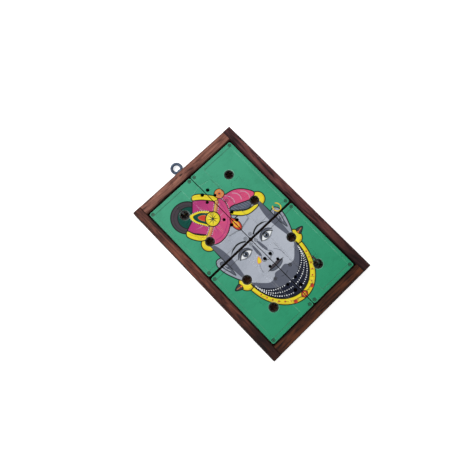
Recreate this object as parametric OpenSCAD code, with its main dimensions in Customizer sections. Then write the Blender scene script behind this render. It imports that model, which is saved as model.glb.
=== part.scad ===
// A wall-hung key holder: four audio cassettes side by side in a hardwood frame.
// The origin is the centre of the frame's back face. +X runs across the frame, +Y runs up towards
// the hanging ring, and +Z comes out of the painted face.

/* [Cassettes] */
// Length of one cassette, along the frame
cassette_length = 100.4; // [92:0.1:125]
// Width of one cassette, from its tape edge to its far edge
cassette_width = 63.8; // [60:0.1:80]
// Thickness of a cassette away from its thick tape edge
cassette_thickness = 8.7; // [8.2:0.1:12]
// Radius of a cassette's corners
cassette_corner = 2.2; // [1:0.1:4]
// Wall of the moulded half shells
shell_wall = 1.2; // [0.9:0.1:1.6]
// How far the thick tape edge stands out on each face
bulge_height = 1.65; // [1:0.05:2.5]
// Length of the thick part along the tape edge
bulge_root_length = 70.6; // [62:0.1:80]
// Length of the thick part at its inner side
bulge_top_length = 63.4; // [54:0.1:76]
// Depth of the thick part, from the tape edge
bulge_depth = 15.7; // [14.5:0.1:19]
// Depth of the label field sunk in each face
label_depth = 0.3; // [0.1:0.05:0.5]

/* [Spools and tape] */
// Distance between the two spool axes of a cassette
spool_pitch = 42.5; // [38.5:0.1:52]
// Distance from the tape edge to the spool axes
spool_line = 34.9; // [30:0.1:40]
// Diameter of the round hole in the shell over each spool
spool_hole = 11.2; // [10.4:0.1:13.5]
// Diameter of the spool hub that the tape winds on
hub_diameter = 21.8; // [17:0.1:24]
// Height of the spool hub between the slip sheets
hub_height = 4.5; // [4:0.1:4.6]
// Diameter inside the hub, at the root of its teeth
hub_bore = 9.2; // [7.8:0.1:10]
// Diameter across the tips of the six drive teeth
tooth_tip = 6.8; // [5.6:0.1:7.4]
// Width of a drive tooth
tooth_width = 1.3; // [0.8:0.1:1.6]
// Outer diameter of each wound pack of tape
pack_diameter = 37.8; // [28:0.1:38]
// Width of the tape
tape_width = 3.8; // [3.2:0.1:4]

/* [Guide rollers] */
// Diameter of a guide roller where the tape runs
roller_diameter = 7.8; // [6:0.1:9.4]
// Diameter of the steel pin that a roller turns on
roller_pin = 2.2; // [1.6:0.1:3]
// Distance from a cassette's end to its roller axis
roller_inset = 10.6; // [9.8:0.1:13]

/* [Frame] */
// Width of the upright stiles, seen from the front
stile_width = 10.6; // [8:0.1:20]
// Width of the top and bottom rails, seen from the front
rail_width = 11.8; // [10:0.1:20]
// Depth of the frame, from its back to its front face
frame_depth = 18; // [17:0.1:30]
// Thickness of the backing board
board_thickness = 5; // [3.5:0.1:6]
// How far the backing board laps into the frame
rebate_width = 3.5; // [2.5:0.1:4]
// Bevel along the front edges of the frame
edge_bevel = 0.8; // [0.2:0.1:1.5]
// Gap between the left and the right cassettes
seam_gap = 0.7; // [0.4:0.1:3]
// Gap between the upper and the lower cassettes
row_gap = 2.5; // [0.6:0.1:5]
// Gap between the cassettes and the frame
border_gap = 1.4; // [0.4:0.1:3]

/* [Hanging ring] */
// Outer diameter of the ring
ring_diameter = 15; // [13:0.1:22]
// Diameter of the ring's wire
ring_wire = 3.6; // [2:0.1:4.4]
// Where the ring hangs, across the frame from its middle
ring_offset = -2; // [-30:0.5:30]
// Thickness of the strap that holds the ring
strap_thickness = 0.6; // [0.4:0.1:0.9]
// Gap between the strap's eye and the top of the frame
eye_standoff = 0.8; // [0.4:0.1:3]

/* [Key hooks] */
// Diameter of a hook's wire
hook_wire = 2.4; // [1.8:0.1:3.2]
// Height of a hook's middle line above the backing board
hook_reach = 17; // [16:0.5:30]
// Length of a hook's upturned leg, from the middle line of its shank
hook_leg = 11.2; // [8:0.1:16]

/* [Clearances] */
// Gap around pieces that turn
running_gap = 0.3; // [0.2:0.05:0.5]
// Gap around a pin that a piece turns on
pin_gap = 0.06; // [0.03:0.01:0.1]
// Gap around pieces that are fixed in each other
fixed_gap = 0.05; // [0.02:0.01:0.1]

/* [Hidden] */
$fn = 64;
TINY = 0.01;

// Heights in a cassette, from the back of its thick part
shell_half = bulge_height + cassette_thickness / 2;
floor_top = bulge_height + shell_wall;
slip_sheet_thickness = 0.12;
pane_flange = 0.5;
slip_sheet_bottom = floor_top + pane_flange + 2 * fixed_gap;
hub_bottom = shell_half - hub_height / 2;
tape_bottom = shell_half - tape_width / 2;

// Screws that hold the half shells together
screw_inset = 3.4;
screw_middle_line = 11.2;
screw_shank = 1.9;
screw_length = 6.1;
screw_head = 3.6;
screw_head_height = 1.2;
screw_head_depth = 1.4;
boss_diameter = 5;
screw_corner_x = cassette_length / 2 - screw_inset;
screw_corners = [for (x = [-1, 1], y = [screw_inset, cassette_width - screw_inset]) [x * screw_corner_x, y]];
screw_middle = [0, screw_middle_line];

// Holes and openings along the tape edge
capstan_offset = 24.4;
capstan_line = 3.9;
capstan_hole = 4.2;
locator_offset = 14.1;
locator_line = 5.8;
locator_hole = 3.6;
head_window = 16;
pinch_window = 11;
guide_window = 4.6;

// Label field and window, in each face
label_length = cassette_length - 9.4;
label_start = bulge_depth + 1.6;
label_width = cassette_width - 4.3 - label_start;
pane_length = 23.6;
pane_width = 13.2;
pane_lip = 1.1;

// Spools
spool_x = spool_pitch / 2;
hub_radius = hub_diameter / 2;
pack_radius = pack_diameter / 2;
collar_radius = spool_hole / 2 - running_gap - 0.1;
collar_sunk = 0.3;
clamp_width = 6;
clamp_depth = 2.6;
tooth_count = 6;

// Guide rollers, which stand in the corners of the tape edge
roller_radius = roller_diameter / 2;
roller_flange = 0.5;
roller_height = 4.9;
roller_flange_height = 0.35;
roller_x = cassette_length / 2 - roller_inset;
roller_line = shell_wall + running_gap + roller_flange + roller_radius;
roller_bottom = shell_half - roller_height / 2;
socket_depth = 0.7;
socket_rim = 1.1;

// Tape between the packs, drawn thicker than real tape
tape_drawn = 0.12;
tape_gap = 0.1;
tape_line = roller_line - roller_radius - tape_gap;

// Pressure pad, its leaf spring and the shield behind it
spring_half = 9;
spring_bow = 0.9;
spring_thickness = 0.2;
pad_width = 5;
pad_front = tape_line + 2 * fixed_gap;
pad_thickness = 1.35;
spring_front = pad_front + pad_thickness + fixed_gap;
shield_half = 7;
shield_wing = 1.4;
shield_thickness = 0.6;
shield_back = spring_front + spring_bow + shield_wing;
shield_height = 6;

// Frame
opening_width = 2 * cassette_width + seam_gap + 2 * border_gap;
opening_length = 2 * cassette_length + row_gap + 2 * border_gap;
frame_width = opening_width + 2 * stile_width;
frame_length = opening_length + 2 * rail_width;
cassette_y = (cassette_length + row_gap) / 2;
nail_diameter = 1.5;
nail_length = 26;
nail_heights = [frame_depth * 0.45, frame_depth * 0.75];
brad_diameter = 1.1;
brad_length = 11;
brad_head = 2.2;
brad_head_height = 0.5;
pad_side = 14;
pad_places = [for (x = [-1, 1]) [x * (cassette_length / 2 - 14), cassette_width - 15]];

// Hanging ring, which turns in an eye rolled in its strap
ring_radius = (ring_diameter - ring_wire) / 2;
eye_width = 3;
eye_bore = ring_wire / 2 + running_gap + pow(eye_width, 2) / 8 / ring_radius;
eye_radius = eye_bore + strap_thickness;
ring_pivot_y = frame_length / 2 + eye_standoff + eye_radius;
ring_pivot_z = eye_radius;
strap_half = 8;
strap_bottom = frame_length / 2 - rail_width + rebate_width + 2 * fixed_gap;
strap_screw_x = 5;
strap_screw_y = (frame_length / 2 + strap_bottom) / 2;
strap_screw = 1.4;
strap_screw_head = 2.6;
strap_screw_length = 9;

// Key hooks, each screwed into the board through the middle of a spool
hook_radius = hook_wire / 2;
hook_bend = hook_wire * 1.3;
hook_sunk = board_thickness - 1;
hook_collar = hook_wire + 2.8;
hook_collar_height = 1;
hook_x = seam_gap / 2 + spool_line;
hook_y = cassette_y + spool_x;

// Each cassette's place: its name, its side of the seam and its row
PLACES = [
    ["upper_left", -1, 1],
    ["upper_right", 1, 1],
    ["lower_left", -1, -1],
    ["lower_right", 1, -1]
];
CASSETTE_NODES = [
    "front_shell", "back_shell", "window_panes", "slip_sheets",
    "upper_spool", "lower_spool", "upper_tape_pack", "lower_tape_pack",
    "upper_guide_roller", "lower_guide_roller"
];
SHARED_NODES = [
    "left_stile", "right_stile", "top_rail", "bottom_rail", "backing_board",
    "corner_nails", "board_brads", "foam_pads",
    "hanging_ring", "ring_strap", "strap_screws",
    "upper_key_hook", "lower_key_hook",
    "shell_screws", "roller_pins", "tape_runs", "magnetic_shields", "pressure_springs", "felt_pads"
];

// ---- Placing ----

// Puts a piece from a cassette's own frame into the board. The tape edge lies on the middle seam.
module at_cassette(side, row) {
    translate([side * seam_gap / 2, row * cassette_y, board_thickness])
        rotate([0, 0, -90 * side])
            children();
}

module at_every_cassette() {
    for (place = PLACES)
        at_cassette(place[1], place[2])
            children();
}

// Turns a piece over, from the back half of a cassette to its front half.
module in_front_half() {
    translate([0, 0, 2 * shell_half])
        mirror([0, 0, 1])
            children();
}

// ---- Outlines ----

module rounded_rectangle(length, width, radius) {
    translate([-length / 2 + radius, 0])
        square([length - 2 * radius, width]);
    translate([-length / 2, radius])
        square([length, width - 2 * radius]);
    for (x = [-1, 1], y = [radius, width - radius])
        translate([x * (length / 2 - radius), y])
            circle(r = radius);
}

module cassette_plan(inset = 0) {
    translate([0, inset])
        rounded_rectangle(cassette_length - 2 * inset, cassette_width - 2 * inset, cassette_corner - inset * 0.75);
}

module bulge_plan(inset = 0) {
    polygon([
        [-bulge_root_length / 2 + inset, inset],
        [bulge_root_length / 2 - inset, inset],
        [bulge_top_length / 2 - inset, bulge_depth - inset],
        [-bulge_top_length / 2 + inset, bulge_depth - inset]
    ]);
}

// ---- Half shells ----

module shell_body() {
    difference() {
        union() {
            translate([0, 0, bulge_height])
                linear_extrude(shell_half - bulge_height)
                    cassette_plan();
            linear_extrude(shell_half)
                bulge_plan();
        }
        translate([0, 0, floor_top])
            linear_extrude(shell_half)
                cassette_plan(shell_wall);
        translate([0, 0, shell_wall])
            linear_extrude(shell_half)
                bulge_plan(shell_wall);
    }
}

module shell_posts() {
    for (corner = screw_corners)
        translate([corner[0], corner[1], bulge_height])
            cylinder(d = boss_diameter, h = shell_half - bulge_height);
    translate([screw_middle[0], screw_middle[1], shell_wall / 2])
        cylinder(d = boss_diameter, h = shell_half - shell_wall / 2);
    for (x = [-1, 1])
        translate([x * roller_x, roller_line, bulge_height + shell_wall / 2])
            cylinder(d = roller_pin + 2 * socket_rim, h = roller_bottom - running_gap - bulge_height - shell_wall / 2);
}

module tape_windows() {
    window_widths = [[0, head_window], [capstan_offset, pinch_window], [locator_offset, guide_window]];
    for (window = window_widths, x = [-1, 1])
        translate([x * window[0] - window[1] / 2, -1, floor_top])
            cube([window[1], shell_wall + 1.5, shell_half]);
}

module shell_openings() {
    for (x = [-1, 1]) {
        translate([x * spool_x, spool_line, -1])
            cylinder(d = spool_hole, h = shell_half);
        translate([x * capstan_offset, capstan_line, -1])
            cylinder(d = capstan_hole, h = shell_half, $fn = 32);
        translate([x * locator_offset, locator_line, -1])
            cylinder(d = locator_hole, h = shell_half, $fn = 32);
        translate([x * roller_x, roller_line, floor_top - socket_depth])
            cylinder(d = roller_pin + 2 * fixed_gap, h = shell_half, $fn = 32);
    }
    tape_windows();
    translate([0, label_start, -1])
        linear_extrude(1 + bulge_height + label_depth)
            rounded_rectangle(label_length, label_width, 2);
    translate([-pane_length / 2, spool_line - pane_width / 2, 0])
        cube([pane_length, pane_width, shell_half]);
}

module spring_posts() {
    for (x = [-1, 1])
        translate([x * (spring_half + 0.9) - 0.6, spring_front, shell_wall / 2])
            cube([1.2, 2.2, shell_half + 1.5]);
}

module back_shell() {
    color("darkseagreen")
        difference() {
            union() {
                shell_body();
                shell_posts();
                spring_posts();
            }
            shell_openings();
            for (spot = concat(screw_corners, [screw_middle]))
                translate([spot[0], spot[1], bulge_height + 1])
                    cylinder(d = screw_shank + 2 * fixed_gap, h = shell_half, $fn = 32);
        }
}

// Hole and head recess for a screw whose head sits in a face at the given height.
module screw_recess(face) {
    translate([0, 0, face - 1])
        cylinder(d = screw_head + 0.5, h = 1 + screw_head_depth, $fn = 32);
    cylinder(d = screw_shank + 0.4, h = shell_half + 1, $fn = 32);
}

module front_shell() {
    color("mediumseagreen")
        in_front_half()
            difference() {
                union() {
                    shell_body();
                    shell_posts();
                }
                shell_openings();
                for (corner = screw_corners)
                    translate([corner[0], corner[1], 0])
                        screw_recess(bulge_height);
                translate([screw_middle[0], screw_middle[1], 0])
                    screw_recess(0);
            }
}

// ---- What fixes and fills a cassette ----

module shell_screw(face) {
    seat = 2 * shell_half - face - screw_head_depth;
    difference() {
        union() {
            translate([0, 0, seat])
                cylinder(d = screw_head, h = screw_head_height, $fn = 32);
            translate([0, 0, seat - screw_length])
                cylinder(d = screw_shank, h = screw_length + TINY, $fn = 32);
        }
        for (turn = [0, 90])
            translate([0, 0, seat + screw_head_height])
                rotate([0, 0, turn])
                    cube([2, 0.45, 1], center = true);
    }
}

module shell_screws() {
    color("dimgray")
        at_every_cassette() {
            for (corner = screw_corners)
                translate([corner[0], corner[1], 0])
                    shell_screw(bulge_height);
            translate([screw_middle[0], screw_middle[1], 0])
                shell_screw(0);
        }
}

module window_pane() {
    fit = 2 * fixed_gap;
    translate([-pane_length / 2 + fixed_gap, spool_line - pane_width / 2 + fixed_gap, bulge_height + label_depth])
        cube([pane_length - fit, pane_width - fit, shell_wall - label_depth + fixed_gap + TINY]);
    translate([-pane_length / 2 - pane_lip, spool_line - pane_width / 2 - pane_lip, floor_top + fixed_gap])
        cube([pane_length + 2 * pane_lip, pane_width + 2 * pane_lip, pane_flange]);
}

module window_panes() {
    color("darkslategray") {
        window_pane();
        in_front_half()
            window_pane();
    }
}

module slip_sheet() {
    margin = 3;
    translate([0, 0, slip_sheet_bottom])
        linear_extrude(slip_sheet_thickness)
            difference() {
                translate([-cassette_length / 2 + 2.7 * margin, bulge_depth + 1])
                    square([cassette_length - 5.4 * margin, cassette_width - bulge_depth - 1 - 2 * margin]);
                for (x = [-1, 1])
                    translate([x * spool_x, spool_line])
                        circle(r = spool_hole / 2 + running_gap);
                translate([-pane_length / 2 + 1, spool_line - pane_width / 2 + 1])
                    square([pane_length - 2, pane_width - 2]);
            }
}

module slip_sheets() {
    color("whitesmoke") {
        slip_sheet();
        in_front_half()
            slip_sheet();
    }
}

// ---- Spools and tape ----

module clamp_plan(gap, outer_radius) {
    intersection() {
        difference() {
            circle(r = outer_radius);
            circle(r = hub_radius - clamp_depth - gap);
        }
        translate([0, -clamp_width / 2 - gap])
            square([hub_diameter, clamp_width + 2 * gap]);
    }
}

// The hub with its drive teeth, and the separate clamp that grips the tape's leader in its rim.
module spool(end) {
    collar_height = 2 * (shell_half - bulge_height - collar_sunk);
    color("dimgray")
        translate([end * spool_x, spool_line, 0]) {
            difference() {
                union() {
                    translate([0, 0, hub_bottom])
                        cylinder(r = hub_radius, h = hub_height);
                    translate([0, 0, shell_half - collar_height / 2])
                        cylinder(r = collar_radius, h = collar_height);
                }
                translate([0, 0, -1])
                    cylinder(d = hub_bore, h = 2 * shell_half + 2);
                rotate([0, 0, end * 45])
                    translate([0, 0, hub_bottom - 1])
                        linear_extrude(hub_height + 2)
                            clamp_plan(fixed_gap, hub_radius + 1);
            }
            for (tooth = [0 : tooth_count - 1])
                rotate([0, 0, tooth * 360 / tooth_count])
                    drive_tooth();
            rotate([0, 0, end * 45])
                translate([0, 0, hub_bottom])
                    linear_extrude(hub_height)
                        clamp_plan(0, hub_radius);
        }
}

module drive_tooth() {
    root = hub_bore / 2 + 0.2;
    translate([tooth_tip / 2, -tooth_width / 2, hub_bottom])
        cube([root - tooth_tip / 2, tooth_width, hub_height]);
}

module tape_pack(end) {
    color("saddlebrown")
        translate([end * spool_x, spool_line, tape_bottom])
            difference() {
                cylinder(r = pack_radius, h = tape_width, $fn = 96);
                translate([0, 0, -1])
                    cylinder(r = hub_radius + fixed_gap, h = tape_width + 2, $fn = 96);
            }
}

// The tape leaves each pack on its outer side, turns round the roller and runs along the tape edge.
function tape_normal() =
    let (across = [-roller_x + spool_x, roller_line - spool_line])
    let (reach = norm(across), along = across / reach)
    let (lean = (pack_radius - roller_radius) / reach)
    lean * along + sqrt(1 - lean * lean) * [along[1], -along[0]];

function tape_side(gap) =
    let (normal = tape_normal(), start = atan2(normal[1], normal[0]), steps = 8)
    concat(
        [[-spool_x, spool_line] + (pack_radius + gap) * normal],
        [for (step = [0 : steps])
            let (angle = start + (270 - start) * step / steps)
            [-roller_x, roller_line] + (roller_radius + gap) * [cos(angle), sin(angle)]]
    );

function mirrored(points) = [for (i = [len(points) - 1 : -1 : 0]) [-points[i][0], points[i][1]]];

function reversed(points) = [for (i = [len(points) - 1 : -1 : 0]) points[i]];

function tape_path(gap) = concat(tape_side(gap), mirrored(tape_side(gap)));

module tape_runs() {
    color("saddlebrown")
        at_every_cassette()
            translate([0, 0, tape_bottom])
                linear_extrude(tape_width)
                    polygon(concat(tape_path(tape_gap), reversed(tape_path(tape_gap + tape_drawn))));
}

// ---- Guide rollers ----

module guide_roller(end) {
    color("ivory")
        translate([end * roller_x, roller_line, roller_bottom])
            difference() {
                union() {
                    cylinder(r = roller_radius, h = roller_height);
                    for (z = [0, roller_height - roller_flange_height])
                        translate([0, 0, z])
                            cylinder(r = roller_radius + roller_flange, h = roller_flange_height);
                }
                translate([0, 0, -1])
                    cylinder(d = roller_pin + 2 * pin_gap, h = roller_height + 2);
            }
}

module roller_pins() {
    pin_bottom = floor_top - socket_depth + fixed_gap;
    color("silver")
        at_every_cassette()
            for (x = [-1, 1])
                translate([x * roller_x, roller_line, pin_bottom])
                    cylinder(d = roller_pin, h = 2 * (shell_half - pin_bottom), $fn = 32);
}

// ---- Pressure pad ----

module pressure_springs() {
    steps = 12;
    bow = [for (i = [-steps : steps])
        [spring_half * i / steps, spring_front + spring_bow * pow(i / steps, 2)]];
    height = tape_width - 0.4;
    color("peru")
        at_every_cassette()
            translate([0, 0, shell_half - height / 2])
                linear_extrude(height)
                    polygon(concat(bow, [for (point = reversed(bow)) point + [0, spring_thickness]]));
}

module felt_pads() {
    height = tape_width - 0.2;
    color("tan")
        at_every_cassette()
            translate([-pad_width / 2, pad_front, shell_half - height / 2])
                cube([pad_width, pad_thickness, height]);
}

module magnetic_shields() {
    color("silver")
        at_every_cassette()
            translate([0, shield_back - shield_wing, shell_half - shield_height / 2]) {
                translate([-shield_half, shield_wing - shield_thickness, 0])
                    cube([2 * shield_half, shield_thickness, shield_height]);
                for (x = [-shield_half, shield_half - shield_thickness])
                    translate([x, 0, 0])
                        cube([shield_thickness, shield_wing, shield_height]);
            }
}

// ---- Frame ----

// A stile or rail along +X, its outer side at y = 0, with a bevel on both front edges.
module moulding(length, width) {
    rotate([90, 0, 90])
        translate([0, 0, -length / 2])
            linear_extrude(length)
                polygon([
                    [0, 0],
                    [width, 0],
                    [width, frame_depth - edge_bevel],
                    [width - edge_bevel, frame_depth],
                    [edge_bevel, frame_depth],
                    [0, frame_depth - edge_bevel]
                ]);
}

module board_rebate() {
    translate([-opening_width / 2 - rebate_width, -opening_length / 2 - rebate_width, -1])
        cube([opening_width + 2 * rebate_width, opening_length + 2 * rebate_width, 1 + board_thickness]);
}

module at_corner_nails() {
    for (x = [-1, 1], y = [-1, 1], z = nail_heights)
        translate([x * frame_width / 2, y * (frame_length - rail_width) / 2, z])
            rotate([0, -90 * x, 0])
                children();
}

module at_board_brads() {
    edge_x = (opening_width + rebate_width) / 2;
    edge_y = (opening_length + rebate_width) / 2;
    side_spots = [for (x = [-1, 1], y = [-1, 0, 1]) [x * edge_x, y * opening_length * 0.4]];
    end_spots = [for (x = [-1, 1], y = [-1, 1]) [x * opening_width * 0.3, y * edge_y]];
    for (spot = concat(side_spots, end_spots))
        translate([spot[0], spot[1], 0])
            children();
}

module nail_holes() {
    at_corner_nails()
        translate([0, 0, -1])
            cylinder(d = nail_diameter + 2 * fixed_gap, h = nail_length + 1 + fixed_gap, $fn = 24);
    at_board_brads()
        cylinder(d = brad_diameter + 2 * fixed_gap, h = brad_length + fixed_gap, $fn = 24);
}

module stile(side) {
    color("saddlebrown")
        difference() {
            translate([side * frame_width / 2, 0, 0])
                rotate([0, 0, 90 * side])
                    moulding(frame_length, stile_width);
            board_rebate();
            nail_holes();
        }
}

module rail(end) {
    color("sienna")
        difference() {
            translate([0, end * frame_length / 2, 0])
                rotate([0, 0, end > 0 ? 180 : 0])
                    moulding(opening_width, rail_width);
            board_rebate();
            nail_holes();
            if (end > 0)
                hanger_cuts();
        }
}

// Seat that the ring's strap is let into, and holes for its screws.
module hanger_cuts() {
    translate([ring_offset - strap_half - fixed_gap, frame_length / 2 - rail_width - 1, -1])
        cube([2 * (strap_half + fixed_gap), rail_width + 2, 1 + strap_thickness]);
    at_strap_screws()
        cylinder(d = strap_screw + 2 * fixed_gap, h = strap_screw_length + fixed_gap, $fn = 24);
}

module backing_board() {
    inset = rebate_width - fixed_gap * 2;
    color("tan")
        difference() {
            translate([-opening_width / 2 - inset, -opening_length / 2 - inset, 0])
                cube([opening_width + 2 * inset, opening_length + 2 * inset, board_thickness]);
            at_board_brads() {
                translate([0, 0, -1])
                    cylinder(d = brad_diameter + 2 * fixed_gap, h = board_thickness + 2, $fn = 24);
                translate([0, 0, -1])
                    cylinder(d = brad_head + 2 * fixed_gap, h = 1 + brad_head_height + fixed_gap, $fn = 24);
            }
            for (side = [-1, 1])
                translate([side * hook_x, -side * hook_y, board_thickness - hook_sunk - fixed_gap])
                    cylinder(r = hook_radius + fixed_gap, h = board_thickness, $fn = 32);
        }
}

module corner_nails() {
    color("dimgray")
        at_corner_nails()
            translate([0, 0, 0.2])
                cylinder(d = nail_diameter, h = nail_length - 0.2, $fn = 24);
}

module board_brads() {
    color("dimgray")
        at_board_brads() {
            cylinder(d = brad_head, h = brad_head_height, $fn = 24);
            cylinder(d = brad_diameter, h = brad_length, $fn = 24);
        }
}

module foam_pads() {
    color("lightgray")
        at_every_cassette()
            for (spot = pad_places)
                translate([spot[0] - pad_side / 2, spot[1] - pad_side / 2, 0])
                    cube([pad_side, pad_side, bulge_height + label_depth]);
}

// ---- Hanging ring ----

module at_strap_screws() {
    for (x = [-1, 1])
        translate([ring_offset + x * strap_screw_x, strap_screw_y, 0])
            children();
}

module hanging_ring() {
    color("slategray")
        translate([ring_offset, ring_pivot_y + ring_radius, ring_pivot_z])
            rotate_extrude($fn = 96)
                translate([ring_radius, 0])
                    circle(d = ring_wire);
}

// The strap is let into the rail and ends in an eye rolled round the ring.
module ring_strap() {
    color("slategray")
        difference() {
            translate([ring_offset, 0, 0]) {
                translate([-strap_half, strap_bottom, 0])
                    cube([2 * strap_half, frame_length / 2 - strap_bottom, strap_thickness]);
                difference() {
                    union() {
                        translate([-eye_width / 2, strap_bottom, 0])
                            cube([eye_width, ring_pivot_y - strap_bottom, strap_thickness]);
                        translate([-eye_width / 2, ring_pivot_y, ring_pivot_z])
                            rotate([0, 90, 0])
                                cylinder(r = eye_radius, h = eye_width);
                    }
                    translate([-eye_width / 2 - 1, ring_pivot_y, ring_pivot_z])
                        rotate([0, 90, 0])
                            cylinder(r = eye_bore, h = eye_width + 2);
                }
            }
            at_strap_screws() {
                translate([0, 0, -1])
                    cylinder(d = strap_screw + 2 * fixed_gap, h = 2 + strap_thickness, $fn = 24);
                translate([0, 0, -1])
                    cylinder(d = strap_screw_head + 2 * fixed_gap, h = 1 + strap_thickness / 2, $fn = 24);
            }
        }
}

module strap_screws() {
    color("silver")
        at_strap_screws() {
            cylinder(d = strap_screw_head, h = strap_thickness / 2, $fn = 24);
            cylinder(d = strap_screw, h = strap_screw_length, $fn = 24);
        }
}

// ---- Key hooks ----

// A square hook: its shank comes straight out of the board and its leg turns up.
module key_hook(side) {
    leg_length = hook_leg - hook_bend - hook_radius;
    color("darkslategray")
        translate([side * hook_x, -side * hook_y, board_thickness]) {
            translate([0, 0, -hook_sunk])
                cylinder(r = hook_radius, h = hook_sunk + hook_reach - hook_bend, $fn = 48);
            cylinder(d = hook_collar, h = hook_collar_height, $fn = 48);
            translate([0, hook_bend, hook_reach - hook_bend])
                rotate([90, 0, -90])
                    rotate_extrude(angle = 90, $fn = 96)
                        translate([hook_bend, 0])
                            circle(r = hook_radius, $fn = 48);
            translate([0, hook_bend, hook_reach])
                rotate([-90, 0, 0])
                    cylinder(r = hook_radius, h = leg_length, $fn = 48);
            translate([0, hook_bend + leg_length, hook_reach])
                sphere(r = hook_radius, $fn = 48);
        }
}

// ---- Parts of one cassette, by name ----

module cassette_piece(piece, side) {
    upper = -side;
    if (piece == "front_shell") front_shell();
    if (piece == "back_shell") back_shell();
    if (piece == "window_panes") window_panes();
    if (piece == "slip_sheets") slip_sheets();
    if (piece == "upper_spool") spool(upper);
    if (piece == "lower_spool") spool(-upper);
    if (piece == "upper_tape_pack") tape_pack(upper);
    if (piece == "lower_tape_pack") tape_pack(-upper);
    if (piece == "upper_guide_roller") guide_roller(upper);
    if (piece == "lower_guide_roller") guide_roller(-upper);
}

stile(-1);  // left_stile
stile(1);  // right_stile
rail(1);  // top_rail
rail(-1);  // bottom_rail
backing_board();
corner_nails();
board_brads();
foam_pads();
hanging_ring();
ring_strap();
strap_screws();
key_hook(-1);  // upper_key_hook
key_hook(1);  // lower_key_hook
shell_screws();
roller_pins();
tape_runs();
magnetic_shields();
pressure_springs();
felt_pads();
for (place = PLACES, piece = CASSETTE_NODES)
    at_cassette(place[1], place[2])
            cassette_piece(piece, place[1]);
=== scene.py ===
"""Framed cassette key holder: painted shells, raised dots, finishes and stage around the fixed frame."""

import math

import bmesh
import bpy
import numpy as np
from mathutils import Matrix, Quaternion, Vector


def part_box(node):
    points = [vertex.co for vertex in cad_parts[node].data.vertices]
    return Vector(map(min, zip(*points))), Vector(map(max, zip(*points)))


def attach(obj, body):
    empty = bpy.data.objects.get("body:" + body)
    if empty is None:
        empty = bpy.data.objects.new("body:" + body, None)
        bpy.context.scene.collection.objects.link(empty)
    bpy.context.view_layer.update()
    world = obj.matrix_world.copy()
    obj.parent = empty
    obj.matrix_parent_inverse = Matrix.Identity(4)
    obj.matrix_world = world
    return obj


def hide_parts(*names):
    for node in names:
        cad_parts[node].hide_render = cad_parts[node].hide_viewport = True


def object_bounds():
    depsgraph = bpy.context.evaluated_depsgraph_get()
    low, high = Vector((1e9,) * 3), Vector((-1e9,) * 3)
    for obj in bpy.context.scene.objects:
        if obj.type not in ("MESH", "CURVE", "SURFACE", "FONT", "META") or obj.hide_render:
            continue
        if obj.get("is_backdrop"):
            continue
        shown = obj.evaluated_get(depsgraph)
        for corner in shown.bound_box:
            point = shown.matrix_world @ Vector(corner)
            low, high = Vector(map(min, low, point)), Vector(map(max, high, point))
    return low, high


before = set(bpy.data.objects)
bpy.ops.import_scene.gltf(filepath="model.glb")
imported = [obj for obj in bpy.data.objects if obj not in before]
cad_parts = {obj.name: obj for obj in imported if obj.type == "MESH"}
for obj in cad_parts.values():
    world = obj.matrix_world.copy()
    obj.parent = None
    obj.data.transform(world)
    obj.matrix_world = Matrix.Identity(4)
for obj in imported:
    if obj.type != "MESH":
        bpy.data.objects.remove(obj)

bl_info = {
    "name": "Cassette key holder",
    "version": (1, 0, 0),
    "blender": (4, 5, 0),
    "location": "View3D > Sidebar > Key holder",
    "description": "Paint, beads, wood and metal finishes of a framed cassette key holder",
    "category": "Object",
}

MM = 0.001
ROOT_BODY = "plaque"
OUTLINE_WEIGHT = 1.35
PLACES = (("upper_left", -1, 1), ("upper_right", 1, 1), ("lower_left", -1, -1), ("lower_right", 1, -1))

# A standard compact cassette in millimetres: across its tape edge from the middle, up from that edge.
CAPSTAN_HOLES = (24.4, 3.9)
LOCATING_HOLES = (14.1, 5.8)
CORNER_SCREWS, CORNER_SCREW_UPS, MIDDLE_SCREW_UP = 46.8, (3.4, 60.4), 11.2
THICK_PART, FACE_SKIN, CORNER = 1.65, 1.15, 2.2
BULGE_HALF, BULGE_LEAN, BULGE_COSINE, BULGE_TOP = 35.3, 0.2293, 0.9747, 15.7
LABEL_MIDDLE, LABEL_EDGE, LABEL_SINK = 38.4, (45.3, 20.9), (43.5, 19.1, 2.0)
LABEL_DEPTH, PANE_DEPTH, WALL_PAINT = 0.3, 0.85, 0.55


def srgb(red, green, blue):
    """Linear colour from 0-255 display values."""
    return tuple(
        v / 255 / 12.92 if v / 255 <= 0.04045 else ((v / 255 + 0.055) / 1.055) ** 2.4 for v in (red, green, blue)
    )


def dim(colour, share):
    return tuple(v * share for v in colour)


# ---------------------------------------------------------------- sizes and colours


def length(name, description, default):
    return bpy.props.FloatProperty(
        name=name, description=description, default=default, min=0.0, precision=5, unit="LENGTH", subtype="DISTANCE"
    )


def angle(name, description, degrees):
    return bpy.props.FloatProperty(
        name=name, description=description, default=math.radians(degrees), unit="ROTATION", subtype="ANGLE"
    )


def colour(name, description, red, green, blue):
    return bpy.props.FloatVectorProperty(
        name=name, description=description, default=srgb(red, green, blue), size=3, min=0.0, max=1.0, subtype="COLOR"
    )


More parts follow.
